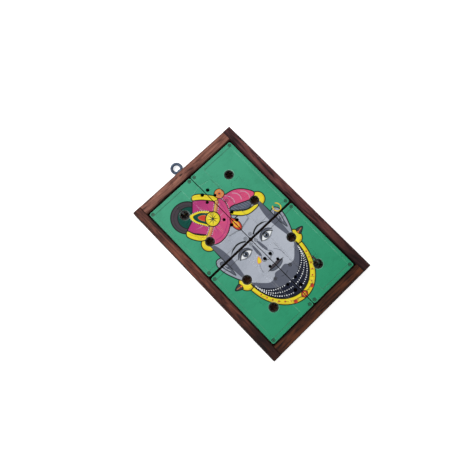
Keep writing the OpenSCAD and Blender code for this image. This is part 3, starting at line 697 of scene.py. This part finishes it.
def painted_piece(name, cassette, plate, node, cut, paints, edge):
    """One painted piece in place of a CAD node: its new face over the node's own lower part."""
    points, faces, rims, tops = plate
    points = points.copy()
    points[:, 0], points[:, 1] = cassette.world(points[:, 0].copy(), points[:, 1].copy())
    mesh = bpy.data.meshes.new(name)
    mesh.from_pydata((points * MM).tolist(), [], faces)
    bm = bmesh.new()
    bm.from_mesh(mesh)
    bm.verts.ensure_lookup_table()
    groups = {}
    for a, b in rims:
        z = round(points[a, 2], 3)
        groups.setdefault(z, []).append(bm.edges.get((bm.verts[a], bm.verts[b])))
    for z, edges in groups.items():
        bmesh.ops.triangle_fill(bm, use_beauty=False, edges=edges, normal=(0, 0, -1 if abs(z - cut) < 1e-3 else 1))
    lower_part(bm, node, cut * MM)
    bmesh.ops.recalc_face_normals(bm, faces=bm.faces)
    loose = [e for e in bm.edges if not e.is_manifold]
    if loose:
        raise RuntimeError(f"{name} has {len(loose)} open edges")
    bm.to_mesh(mesh)
    bm.free()
    mesh.shade_smooth()
    mesh.set_sharp_from_angle(angle=math.radians(46))
    place = np.empty(len(mesh.vertices) * 3)
    mesh.vertices.foreach_get("co", place)
    place = place.reshape(-1, 3) / MM
    colours = picture(place[:, :2].copy(), paints, edge)
    lx = (place[:, 1] - cassette.middle) * -cassette.side
    ly = np.abs(place[:, 0]) - cassette.seam
    # Painted highlight on the moulded edges and hole rims, painted shadow in the short sides of the label recess.
    worn = cassette.worn(lx, ly)[:, None]
    colours = (colours * (1 - worn) + (colours * 0.55 + 0.3) * worn) * (1 - cassette.painted_recess_shadow(lx, ly)[:, None])
    coat = ease(cassette.face - PANE_DEPTH, cassette.face - 0.35, place[:, 2])
    coat[:tops] = 1.0
    colours = colours * coat[:, None] + np.array(paints.bare) * (1 - coat[:, None])
    layer = mesh.attributes.new("paint", "FLOAT_COLOR", "POINT")
    layer.data.foreach_set("color", np.concatenate([colours, np.ones((len(colours), 1))], 1).astype(np.float32).ravel())
    layer = mesh.attributes.new("coat", "FLOAT", "POINT")
    layer.data.foreach_set("value", coat.astype(np.float32))
    return settle_piece(name, mesh, node)


def settle_piece(name, mesh, *nodes, slot="painted_shell", body=ROOT_BODY):
    """Puts a finished mesh in the scene, on its body."""
    piece = bpy.data.objects.new(name, mesh)
    bpy.context.scene.collection.objects.link(piece)
    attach(piece, body)
    if nodes:
        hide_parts(*nodes)
    return piece


# ---------------------------------------------------------------- finishes


class Finish:
    """A material built from nodes."""

    def __init__(self, name):
        self.material = bpy.data.materials.new(name)
        self.material.use_nodes = True
        self.tree = self.material.node_tree
        self.tree.nodes.clear()
        self.shader = self.add("ShaderNodeBsdfPrincipled")
        out = self.add("ShaderNodeOutputMaterial")
        self.tree.links.new(self.shader.outputs[0], out.inputs[0])

    def add(self, kind, **settings):
        node = self.tree.nodes.new(kind)
        for key, value in settings.items():
            setattr(node, key, value)
        return node

    def put(self, socket, value):
        if isinstance(value, bpy.types.NodeSocket):
            self.tree.links.new(value, socket)
        elif hasattr(value, "__len__") and socket.type == "RGBA":
            socket.default_value = (*value[:3], 1.0)
        else:
            socket.default_value = value

    def set(self, **values):
        for key, value in values.items():
            self.put(self.shader.inputs[key.replace("_", " ")], value)
        return self.material

    def place(self, scale=(1, 1, 1), turn=0.0, shift=(0, 0, 0)):
        coordinates = self.add("ShaderNodeTexCoord").outputs["Object"]
        mapping = self.add("ShaderNodeMapping")
        mapping.inputs["Scale"].default_value = scale
        mapping.inputs["Rotation"].default_value = (0, 0, turn)
        mapping.inputs["Location"].default_value = shift
        self.tree.links.new(coordinates, mapping.inputs["Vector"])
        return mapping.outputs[0]

    def noise(self, vector, scale=1.0, detail=4.0, rough=0.55, bend=0.0):
        node = self.add("ShaderNodeTexNoise")
        names = ("Vector", "Scale", "Detail", "Roughness", "Distortion")
        for key, value in zip(names, (vector, scale, detail, rough, bend)):
            self.put(node.inputs[key], value)
        return node.outputs["Fac"]

    def math(self, operation, a, b=0.0):
        node = self.add("ShaderNodeMath", operation=operation)
        for socket, value in zip(node.inputs, (a, b)):
            self.put(socket, value)
        return node.outputs[0]

    def times(self, a, b):
        return self.math("MULTIPLY", a, b)

    def less(self, a, b):
        return self.math("SUBTRACT", a, b)

    def weigh(self, first, *rest):
        """Sum of values, each times its share."""
        part = self.times(*first)
        return self.math("ADD", part, self.weigh(*rest)) if rest else part

    def sway(self, value, noise, share):
        """A value moved up and down by a noise."""
        return self.math("ADD", value, self.times(self.less(noise, 0.5), share))

    def reach(self, dx, dy):
        return self.math("SQRT", self.math("ADD", self.times(dx, dx), self.times(dy, dy)))

    def ramp(self, factor, *stops):
        node = self.add("ShaderNodeValToRGB")
        items = node.color_ramp.elements
        while len(items) < len(stops):
            items.new(0.5)
        for item, (at, value) in zip(items, stops):
            item.position = at
            value = (value, value, value) if isinstance(value, (int, float)) else value
            item.color = (*value, 1.0)
        self.put(node.inputs[0], factor)
        return node.outputs[0]

    def span(self, factor, low, high, to_low=0.0, to_high=1.0):
        node = self.add("ShaderNodeMapRange", interpolation_type="SMOOTHSTEP")
        for socket, value in zip(node.inputs, (factor, low, high, to_low, to_high)):
            self.put(socket, value)
        return node.outputs[0]

    def mix(self, factor, a, b, kind="MIX"):
        node = self.add("ShaderNodeMix", data_type="RGBA", blend_type=kind)
        self.put(node.inputs[0], factor)
        self.put(node.inputs[6], a)
        self.put(node.inputs[7], b)
        return node.outputs[2]

    def bump(self, height, strength, depth):
        node = self.add("ShaderNodeBump")
        self.put(node.inputs["Strength"], strength)
        self.put(node.inputs["Distance"], depth)
        self.put(node.inputs["Height"], height)
        return node.outputs[0]

    def axes(self):
        split = self.add("ShaderNodeSeparateXYZ")
        self.tree.links.new(self.add("ShaderNodeTexCoord").outputs["Object"], split.inputs[0])
        return split.outputs


def painted_finish():
    f = Finish("brushed acrylic paint")
    paint = f.add("ShaderNodeAttribute", attribute_name="paint").outputs["Color"]
    coat = f.add("ShaderNodeAttribute", attribute_name="coat").outputs["Fac"]
    streak = f.noise(f.place((260, 1500, 300), 0.5), 1.0, 4, 0.6, 0.6)
    cloud = f.noise(f.place((45, 45, 45)), 1.0, 5, 0.6, 0.4)
    grain = f.noise(f.place((2600, 2600, 2600)), 1.0, 2, 0.5)
    tone = f.span(f.weigh((streak, 0.5), (cloud, 0.5)), 0.34, 0.66, 0.86, 1.1)
    shaded = f.mix(1.0, paint, f.ramp(tone, (0.0, 0.0), (1.0, 1.0)), "MULTIPLY")
    rough = f.span(f.weigh((grain, 0.4), (cloud, 0.6)), 0.35, 0.65, 0.36, 0.52)
    bare = f.span(grain, 0.3, 0.7, 0.42, 0.6)
    rough = f.weigh((rough, coat), (bare, f.less(1.0, coat)))
    relief = f.weigh((streak, f.times(coat, 0.8)), (grain, 0.2))
    return f.set(
        Base_Color=shaded, Roughness=rough, Normal=f.bump(relief, 0.35, 0.00012), Specular_IOR_Level=0.1,
    )


def wood_finish(name, lengthwise, dark, middle, light, centre, half, seed, marks=(), fade=1.0):
    """Stained hardwood with its grain along X or Y, with painted shade darkening its long edges."""
    f = Finish(name)
    long_scale, cross = 20.0, 230.0
    scale = (cross, long_scale, cross) if lengthwise == "Y" else (long_scale, cross, cross)
    warp = f.place(scale, 0.012 * (seed % 3 - 1), (seed * 1.7, seed * 0.9, seed))
    bands = f.noise(warp, 1.0, 6, 0.62, 1.1)
    fine = f.noise(f.place([v * 6 for v in scale], 0.0, (seed, 0, 0)), 1.0, 4, 0.7, 0.3)
    pores = f.noise(f.place([v * v / 60 + 160 for v in scale], 0.0, (0, seed, 0)), 1.0, 2, 0.5)
    cloud = f.noise(f.place((38, 38, 38), 0, (seed, seed, 0)), 1.0, 3, 0.5)
    tone = f.weigh((bands, 0.62), (fine, 0.22), (cloud, 0.2))
    base = f.ramp(tone, (0.41, dark), (0.5, middle), (0.61, light))
    # Painted shade: darker towards the long edges.
    across = f.axes()[0 if lengthwise == "Y" else 1]
    off = f.math("ABSOLUTE", f.less(across, centre))
    worn = f.sway(off, cloud, half * 0.5)
    base = f.mix(f.times(f.span(worn, half * 0.62, half * 1.02), 0.6), base, dim(dark, 0.3))
    split = f.span(pores, 0.30, 0.36, 1.0, 0.0)
    base = f.mix(f.times(split, 0.65), base, dim(dark, 0.25))
    x, y, _ = f.axes()
    end = f.sway(y, cloud, 0.05)
    base = f.mix(f.times(f.span(end, -0.1, 0.0, 1.0, 0.0), 1.0 - fade), base, dim(dark, 0.4))
    for mx, my, wide, tall, strength in marks:
        dx = f.math("DIVIDE", f.less(x, mx), wide)
        dy = f.math("DIVIDE", f.less(y, my), tall)
        far = f.reach(dx, dy)
        far = f.sway(far, fine, 0.9)
        base = f.mix(f.times(f.span(far, 0.5, 1.1, 1.0, 0.0), strength), base, dim(dark, 0.3))
    relief = f.weigh((fine, 0.5), (split, -0.6))
    return f.set(
        Base_Color=base, Roughness=f.span(tone, 0.35, 0.65, 0.62, 0.44), Normal=f.bump(relief, 0.4, 0.00018),
        Specular_IOR_Level=0.16,
    )


def moulded_finish(name, base, other, rough=0.42, scale=260.0, coat=0.0, speckle=None):
    """Moulded plastic, felt, foam or film: clouded colour, fine texture and scuffs."""
    f = Finish(name)
    cloud = f.noise(f.place((scale,) * 3), 1.0, 4, 0.6, 0.3)
    grain = f.noise(f.place((scale * 11,) * 3), 1.0, 3, 0.6)
    tone = f.ramp(f.weigh((cloud, 0.65), (grain, 0.35)), (0.36, base), (0.64, other))
    if speckle is not None:
        drops = f.noise(f.place((620, 620, 620), 0.3, (0.4, 0.1, 0)), 1.0, 3, 0.5, 0.6)
        tone = f.mix(f.span(drops, 0.62, 0.66), tone, speckle)
    return f.set(
        Base_Color=tone, Roughness=f.span(cloud, 0.3, 0.7, max(rough - 0.09, 0.04), min(rough + 0.1, 1.0)),
        Normal=f.bump(f.math("ADD", grain, cloud), 0.22, 0.00006), Coat_Weight=coat, Coat_Roughness=0.2,
    )


def metal_finish(name, base, dull, rough=0.3, along=(90, 1400, 1400), patina=0.4, metallic=1.0, coat=0.0):
    """Metal or painted metal: drawn scratches, dull patches and wear."""
    f = Finish(name)
    scratch = f.noise(f.place(along, 0.2), 1.0, 4, 0.65, 0.2)
    patch = f.noise(f.place((210, 210, 210)), 1.0, 5, 0.62, 0.5)
    tone = f.mix(f.times(f.span(patch, 0.42, 0.66), patina), base, dull)
    bright = tuple(min(v * 1.7 + 0.02, 1.0) for v in base)
    tone = f.mix(f.times(f.span(scratch, 0.55, 0.8), 0.35), tone, bright)
    return f.set(
        Base_Color=tone, Metallic=metallic,
        Roughness=f.span(f.weigh((scratch, 0.4), (patch, 0.6)), 0.34, 0.66, rough - 0.08, rough + 0.16),
        Normal=f.bump(f.math("ADD", scratch, patch), 0.2, 0.00004), Coat_Weight=coat, Coat_Roughness=0.12,
    )


def screw_finish(paints):
    """Screw heads covered by the paint around them, darkened with painted shade in their recesses, with bare metal
    where it has chipped.
    """
    f = Finish("paint-covered screws")
    x, y, z = f.axes()
    near = f.span(f.math("ABSOLUTE", x), 0.019, 0.021, 1.0, 0.0)
    skin = f.times(near, f.span(f.math("ABSOLUTE", y), 0.019, 0.021, 1.0, 0.0))
    cloth = f.times(near, f.times(f.span(y, 0.03, 0.032), f.span(y, 0.07, 0.072, 1.0, 0.0)))
    left = f.times(cloth, f.math("LESS_THAN", x, 0.0))
    beard = f.times(near, f.times(f.span(y, -0.032, -0.03, 1.0, 0.0), f.span(y, -0.07, -0.068)))
    # The paint on the heads is dimmed: painted shade in the screw recesses.
    tone = f.mix(skin, dim(paints.deep_green, 0.42), dim(paints.pale, 0.8))
    tone = f.mix(cloth, tone, dim(paints.pink, 0.7))
    tone = f.mix(left, tone, dim(paints.yellow, 0.75))
    tone = f.mix(beard, tone, dim(paints.shade, 0.45))
    chips = f.noise(f.place((1900, 1900, 1900)), 1.0, 3, 0.6, 0.4)
    cloud = f.noise(f.place((600, 600, 600)), 1.0, 3, 0.5)
    tone = f.mix(f.span(chips, 0.62, 0.68), tone, srgb(84, 88, 86))
    tone = f.mix(f.span(z, 0.0128, 0.0134, 1.0, 0.0), tone, srgb(150, 150, 148))
    return f.set(Base_Color=tone, Roughness=f.span(cloud, 0.3, 0.7, 0.36, 0.55), Normal=f.bump(chips, 0.25, 0.00005))


def tape_finish():
    """Wound tape: fine rings round each hub, brown and glossy."""
    f = Finish("wound tape")
    x, y, _ = f.axes()
    dx = f.less(f.math("ABSOLUTE", x), 0.03525)
    dy = f.less(f.math("ABSOLUTE", f.less(f.math("ABSOLUTE", y), 0.05145)), 0.02125)
    radius = f.reach(dx, dy)
    join = f.add("ShaderNodeCombineXYZ")
    f.put(join.inputs[0], f.times(radius, 5200.0))
    turns = f.noise(join.outputs[0], 1.0, 5, 0.7)
    cloud = f.noise(f.place((160, 160, 160)), 1.0, 3, 0.5)
    tone = f.ramp(f.weigh((turns, 0.7), (cloud, 0.3)), (0.35, srgb(44, 26, 18)), (0.65, srgb(92, 58, 40)))
    return f.set(Base_Color=tone, Roughness=f.span(turns, 0.3, 0.7, 0.24, 0.4), Normal=f.bump(turns, 0.3, 0.00005))


# ---------------------------------------------------------------- raised dots


def dot_tree(name, material):
    """Geometry nodes that set a low dome on every point."""
    tree = bpy.data.node_groups.new(name, "GeometryNodeTree")
    face = tree.interface
    face.new_socket(name="Points", in_out="INPUT", socket_type="NodeSocketGeometry")
    for label, value in (("Dot radius", 0.0005), ("Dot height", 0.0004), ("Unevenness", 0.14)):
        face.new_socket(name=label, in_out="INPUT", socket_type="NodeSocketFloat").default_value = value
    for label, value in (("Sides", 8), ("Layers", 6), ("Seed", 7)):
        face.new_socket(name=label, in_out="INPUT", socket_type="NodeSocketInt").default_value = value
    face.new_socket(name="Dots", in_out="OUTPUT", socket_type="NodeSocketGeometry")
    add, join = tree.nodes.new, tree.links.new
    given, out = add("NodeGroupInput"), add("NodeGroupOutput")
    ball, shape = add("GeometryNodeMeshUVSphere"), add("ShaderNodeCombineXYZ")
    flat, place = add("GeometryNodeTransform"), add("GeometryNodeInstanceOnPoints")
    vary, low, high = add("FunctionNodeRandomValue"), add("ShaderNodeMath"), add("ShaderNodeMath")
    real, dress = add("GeometryNodeRealizeInstances"), add("GeometryNodeSetMaterial")
    low.operation, high.operation = "SUBTRACT", "ADD"
    low.inputs[0].default_value = high.inputs[0].default_value = 1.0
    ball.inputs["Radius"].default_value = 1.0
    dress.inputs["Material"].default_value = material
    join(given.outputs["Sides"], ball.inputs["Segments"])
    join(given.outputs["Layers"], ball.inputs["Rings"])
    for k, label in enumerate(("Dot radius", "Dot radius", "Dot height")):
        join(given.outputs[label], shape.inputs[k])
    join(ball.outputs["Mesh"], flat.inputs["Geometry"])
    join(shape.outputs[0], flat.inputs["Scale"])
    join(given.outputs["Points"], place.inputs["Points"])
    join(flat.outputs["Geometry"], place.inputs["Instance"])
    join(given.outputs["Unevenness"], low.inputs[1])
    join(given.outputs["Unevenness"], high.inputs[1])
    join(low.outputs[0], vary.inputs[2])
    join(high.outputs[0], vary.inputs[3])
    join(given.outputs["Seed"], vary.inputs["Seed"])
    join(vary.outputs[1], place.inputs["Scale"])
    join(place.outputs["Instances"], real.inputs["Geometry"])
    join(real.outputs["Geometry"], dress.inputs["Geometry"])
    join(dress.outputs["Geometry"], out.inputs["Dots"])
    return tree


def on_the_faces(points, cassettes, clear):
    """Puts points on the painted faces, without those over a hole or a seam."""
    out = []
    for cassette in cassettes:
        for x, y in points:
            if (x > 0) != (cassette.side > 0) or (y > 0) != (cassette.row > 0):
                continue
            lx, ly = cassette.local((x, y))
            if cassette.outline(lx, ly) > -clear - 0.4:
                continue
            if min(math.hypot(lx - hx, ly - hy) - radius for hx, hy, radius, _ in cassette.holes) < clear:
                continue
            out.append((x * MM, y * MM, float(cassette.height(np.array(lx), np.array(ly))) * MM))
    return out


def raise_dots(name, places, material, radius, height, seed):
    tree = dot_tree(name.replace("_", " "), material)
    source = bpy.data.meshes.new(name + "_points")
    source.from_pydata(places, [], [])
    holder = bpy.data.objects.new(name + "_points", source)
    bpy.context.scene.collection.objects.link(holder)
    modifier = holder.modifiers.new("Dots", "NODES")
    modifier.node_group = tree
    given = {item.name: item.identifier for item in tree.interface.items_tree if item.in_out == "INPUT"}
    for label, value in (("Dot radius", radius), ("Dot height", height), ("Seed", seed)):
        modifier[given[label]] = value
    mesh = bpy.data.meshes.new_from_object(holder.evaluated_get(bpy.context.evaluated_depsgraph_get()))
    mesh.name = name
    mesh.shade_smooth()
    bpy.data.objects.remove(holder)
    return settle_piece(name, mesh)


def drop_finish(name, base, other, rough=0.3):
    return moulded_finish(name, base, other, rough, 900.0, 0.25)


# ---------------------------------------------------------------- operators


def cassettes_of(context):
    return [Cassette(name, side, row, context.scene.keyholder_shells) for name, side, row in PLACES]


def dress(node, material):
    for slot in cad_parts[node].material_slots:
        slot.material = material


def finish_of(node):
    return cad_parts[node].material_slots[0].material.name.split(".")[0]


SLOT_OF = {node: finish_of(node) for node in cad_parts}


def dress_slot(slot, material):
    for node, name in SLOT_OF.items():
        if name == slot:
            dress(node, material)


class KEYHOLDER_OT_painted_shells(bpy.types.Operator):
    """Builds the four painted front shells over their moulded insides"""

    bl_idname = "keyholder.painted_shells"
    bl_label = "Painted shells"

    def execute(self, context):
        scene = context.scene
        sizes, paints = scene.keyholder_shells, scene.keyholder_paints
        step = sizes.paint_step / MM * 1.0
        material = painted_finish()
        for cassette in cassettes_of(context):
            name = cassette.name
            shell = painted_piece(
                name + "_painted_shell", cassette, shell_plate(cassette, step), name + "_front_shell", cassette.cut,
                paints, sizes.paint_edge / MM,
            )
            pane = painted_piece(
                name + "_painted_window", cassette, pane_plate(cassette, step), name + "_window_panes",
                cassette.face - 0.85, paints, sizes.paint_edge / MM,
            )
            for piece in (shell, pane):
                piece.data.materials.append(material)
        return {"FINISHED"}


class KEYHOLDER_OT_beads(bpy.types.Operator):
    """Sets the rows of large white dots of the beard"""

    bl_idname = "keyholder.beads"
    bl_label = "Bead rows"

    def execute(self, context):
        sizes, paints = context.scene.keyholder_dots, context.scene.keyholder_paints
        pitch = sizes.bead_pitch / MM
        rows = [arc(BEADS_MIDDLE, 33.3, drop, 184, 356, 160) for drop in BEAD_DROPS]
        points = [p for row in rows for p in along(row, pitch, 0.6)]
        white = drop_finish("white dots", tuple(paints.bead), dim(paints.bead, 0.86))
        places = on_the_faces(points, cassettes_of(context), 0.5)
        raise_dots("white_bead_dots", places, white, sizes.bead_radius, sizes.bead_height, 3)
        return {"FINISHED"}


class KEYHOLDER_OT_seeds(bpy.types.Operator):
    """Sets the small white dots along the headdress"""

    bl_idname = "keyholder.seeds"
    bl_label = "Seed dots"

    def execute(self, context):
        sizes, paints = context.scene.keyholder_dots, context.scene.keyholder_paints
        lines = [
            spline(scaled(ALMOND, 0.95, ALMOND_MIDDLE), True),
            spline([(8.8, 58.5), (9.6, 52), (7.8, 45.6), (4.8, 39.5)]),
            spline([(-33.5, 23.6), (-27, 20.2), (-15, 21.2), (-6.4, 25.8), (0.8, 31)]),
            spline(np.array(SASH) + (-1.3, 2.4)),
            spline(np.array(SASH) + (1.3, -2.4)),
        ]
        points = [p for line in lines for p in along(line, sizes.seed_pitch / MM, 0.3)]
        for centre, clear in ((ROSETTE, 9.2), ((-36.4, 29.8), 9.4)):
            points = [p for p in points if math.dist(p, centre) > clear]
        white = drop_finish("small white dots", tuple(paints.bead), dim(paints.bead, 0.8))
        places = on_the_faces(points, cassettes_of(context), 0.4)
        raise_dots("white_seed_dots", places, white, sizes.seed_radius, sizes.seed_height, 5)
        return {"FINISHED"}


class KEYHOLDER_OT_berries(bpy.types.Operator):
    """Sets the red dots of the yellow garland"""

    bl_idname = "keyholder.berries"
    bl_label = "Garland berries"

    def execute(self, context):
        sizes, paints = context.scene.keyholder_dots, context.scene.keyholder_paints
        points = [p for s in (1, -1) for p in along(arc(GARLAND_MIDDLE, s * 37.4, 47.8, -78, -12, 80), 7.0, 2.0)]
        red = drop_finish("red dots", tuple(paints.red), dim(paints.red, 0.7))
        places = on_the_faces(points, cassettes_of(context), 0.8)
        raise_dots("red_garland_dots", places, red, sizes.berry_radius, sizes.berry_height, 11)
        return {"FINISHED"}


class KEYHOLDER_OT_wood(bpy.types.Operator):
    """Stains the frame and the board"""

    bl_idname = "keyholder.wood"
    bl_label = "Wood"

    def execute(self, context):
        tones = {
            "left_stile": ("Y", (26, 10, 9), (70, 35, 28), (122, 68, 52), 3, 0.22, ()),
            "right_stile": ("Y", (30, 13, 15), (78, 42, 44), (116, 69, 64), 8, 0.25, ()),
            "top_rail": ("X", (52, 25, 21), (112, 69, 58), (156, 105, 88), 5, 1.0, ((-6, 1.5, 3.2, 1.2, 0.9),)),
            "bottom_rail": ("X", (20, 7, 4), (50, 25, 14), (94, 52, 30), 13, 1.0, ((1, -2.6, 4.6, 1.1, 0.8),)),
        }
        for node, (way, dark, middle, light, seed, fade, marks) in tones.items():
            low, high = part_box(node)
            across = 0 if way == "Y" else 1
            centre, half = (low[across] + high[across]) / 2, (high[across] - low[across]) / 2
            rail = (low[1] + high[1]) / 2
            spots = [(x * MM, rail + y * MM if way == "X" else y * MM, w * MM, h * MM, s) for x, y, w, h, s in marks]
            name = "stained wood of the " + node.replace("_", " ")
            stain = (srgb(*dark), srgb(*middle), srgb(*light))
            dress(node, wood_finish(name, way, *stain, centre, half, seed, spots, fade))
        board = wood_finish("backing board", "X", srgb(46, 26, 20), srgb(84, 52, 38), srgb(110, 74, 54), 0.0, 0.3, 21)
        dress_slot("board_wood", board)
        return {"FINISHED"}


class KEYHOLDER_OT_metals(bpy.types.Operator):
    """Finishes the hooks, the ring, the nails, screws, pins and springs"""

    bl_idname = "keyholder.metals"
    bl_label = "Metals"

    def execute(self, context):
        black = srgb(18, 18, 20), srgb(38, 36, 36), 0.2
        dress_slot("hook_steel", metal_finish("black lacquered hook", *black, patina=0.5, metallic=0.0, coat=0.7))
        zinc = srgb(76, 92, 114), srgb(22, 32, 56), 0.5
        dress_slot("ring_steel", metal_finish("dull zinc ring", *zinc, (1500, 120, 1500), 0.8, 0.15))
        dress_slot("screw_steel", screw_finish(context.scene.keyholder_paints))
        for slot, base, dull, rough, patina in (
            ("nail_steel", (150, 148, 142), (92, 70, 54), 0.36, 0.6),
            ("bright_steel", (196, 198, 202), (140, 142, 148), 0.22, 0.4),
            ("spring_bronze", (196, 146, 86), (128, 88, 50), 0.28, 0.5),
        ):
            dress_slot(slot, metal_finish(slot.replace("_", " "), srgb(*base), srgb(*dull), rough, patina=patina))
        return {"FINISHED"}


class KEYHOLDER_OT_plastics(bpy.types.Operator):
    """Finishes the back shells, spools, rollers, tape, film, felt and foam"""

    bl_idname = "keyholder.plastics"
    bl_label = "Plastics and tape"

    def execute(self, context):
        splash = dim(context.scene.keyholder_paints.deep_green, 0.3)
        for slot, name, base, other, *surface in (
            ("shell_plastic", "moulded shell", (27, 29, 29), (38, 41, 40), 0.44, 240.0),
            ("spool_plastic", "spools", (40, 27, 23), (22, 17, 16), 0.5, 300.0, 0.0, splash),
            ("roller_plastic", "guide rollers", (214, 212, 204), (190, 188, 180), 0.35, 420.0),
            ("slip_film", "slip sheets", (92, 96, 100), (120, 124, 128), 0.3, 160.0, 0.2),
            ("felt", "felt pads", (176, 150, 112), (142, 118, 84), 0.92, 1500.0),
            ("foam", "foam pads", (52, 52, 54), (30, 30, 32), 0.95, 1100.0),
        ):
            dress_slot(slot, moulded_finish(name, srgb(*base), srgb(*other), *surface))
        dress_slot("tape", tape_finish())
        return {"FINISHED"}


class KEYHOLDER_OT_stage(bpy.types.Operator):
    """Sets a pale floor, soft light and the camera"""

    bl_idname = "keyholder.stage"
    bl_label = "Stage"

    def execute(self, context):
        scene, stage = context.scene, context.scene.keyholder_stage
        half = stage.floor_size / 2
        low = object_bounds()[0][2] - 0.0004
        mesh = bpy.data.meshes.new("floor")
        corners = [(-half, -half, low), (half, -half, low), (half, half, low), (-half, half, low)]
        mesh.from_pydata(corners, [], [(0, 1, 2, 3)])
        floor = bpy.data.objects.new("floor", mesh)
        scene.collection.objects.link(floor)
        paper = Finish("floor paper")
        fleck = paper.noise(paper.place((14, 14, 14)), 1.0, 3, 0.5)
        base = tuple(stage.floor_colour)
        tone = paper.ramp(fleck, (0.3, dim(base, 0.992)), (0.7, base))
        paper.put(paper.shader.inputs["Emission Color"], (1.0, 1.0, 1.0))
        mesh.materials.append(paper.set(Base_Color=tone, Roughness=0.9, Specular_IOR_Level=0.1, Emission_Strength=0.6))
        floor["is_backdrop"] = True
        world = bpy.data.worlds.new("soft daylight")
        world.use_nodes = True
        world.node_tree.nodes["Background"].inputs["Color"].default_value = (1.0, 1.0, 1.0, 1.0)
        world.node_tree.nodes["Background"].inputs["Strength"].default_value = 0.4
        scene.world = world
        for name, place, size, power in (
            ("key light", (-0.35, 0.95, 1.25), 1.0, 19.0),
            ("fill light", (-0.9, -0.7, 1.2), 1.2, 6.0),
        ):
            light = bpy.data.lights.new(name, "AREA")
            light.shape, light.size, light.energy = "DISK", size, power
            lamp = bpy.data.objects.new(name, light)
            lamp.location = place
            lamp.rotation_euler = (-Vector(place)).to_track_quat("-Z", "Y").to_euler()
            scene.collection.objects.link(lamp)
        scene.view_settings.view_transform = "Standard"
        left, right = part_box("left_stile"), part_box("right_stile")
        wide, tall, front = right[1][0] - left[0][0], left[1][1] - left[0][1], left[1][2]
        aim = Vector((stage.aim_across * wide, stage.aim_along * tall, front))
        out = Vector((
            math.cos(stage.elevation) * math.cos(stage.azimuth),
            math.cos(stage.elevation) * math.sin(stage.azimuth),
            math.sin(stage.elevation),
        ))
        camera = bpy.data.objects.new("camera", bpy.data.cameras.new("camera"))
        camera.data.lens, camera.data.sensor_width, camera.data.clip_start = stage.lens, 36.0, 0.01
        camera.location = aim + out * stage.distance
        look = (-out).to_track_quat("-Z", "Y") @ Quaternion((0, 0, 1), stage.roll)
        camera.rotation_euler = look.to_euler()
        scene.collection.objects.link(camera)
        scene.camera = camera
        return {"FINISHED"}


OPERATORS = (
    KEYHOLDER_OT_painted_shells,
    KEYHOLDER_OT_beads,
    KEYHOLDER_OT_seeds,
    KEYHOLDER_OT_berries,
    KEYHOLDER_OT_wood,
    KEYHOLDER_OT_metals,
    KEYHOLDER_OT_plastics,
    KEYHOLDER_OT_stage,
)


class KEYHOLDER_PT_panel(bpy.types.Panel):
    """Sizes, colours and pieces of the key holder"""

    bl_idname = "KEYHOLDER_PT_panel"
    bl_label = "Key holder"
    bl_space_type = "VIEW_3D"
    bl_region_type = "UI"
    bl_category = "Key holder"

    def draw(self, context):
        column = self.layout.column()
        for operator in OPERATORS:
            column.operator(operator.bl_idname)
        for group in (getattr(context.scene, name) for name in GROUPS):
            box = self.layout.box()
            for name in group.__annotations__:
                box.prop(group, name)


GROUPS = {
    "keyholder_shells": KeyHolderShellSizes,
    "keyholder_dots": KeyHolderDotSizes,
    "keyholder_paints": KeyHolderPaints,
    "keyholder_stage": KeyHolderStage,
}


def register():
    for name, group in GROUPS.items():
        bpy.utils.register_class(group)
        setattr(bpy.types.Scene, name, bpy.props.PointerProperty(type=group))
    for item in (*OPERATORS, KEYHOLDER_PT_panel):
        bpy.utils.register_class(item)


def unregister():
    for item in reversed((*OPERATORS, KEYHOLDER_PT_panel)):
        bpy.utils.unregister_class(item)
    for name, group in GROUPS.items():
        delattr(bpy.types.Scene, name)
        bpy.utils.unregister_class(group)


def main():
    """Builds everything over the frame."""
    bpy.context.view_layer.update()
    register()
    for operator in OPERATORS:
        family, name = operator.bl_idname.split(".")
        getattr(getattr(bpy.ops, family), name)()
    bpy.context.view_layer.update()


if __name__ == "__main__":
    main()
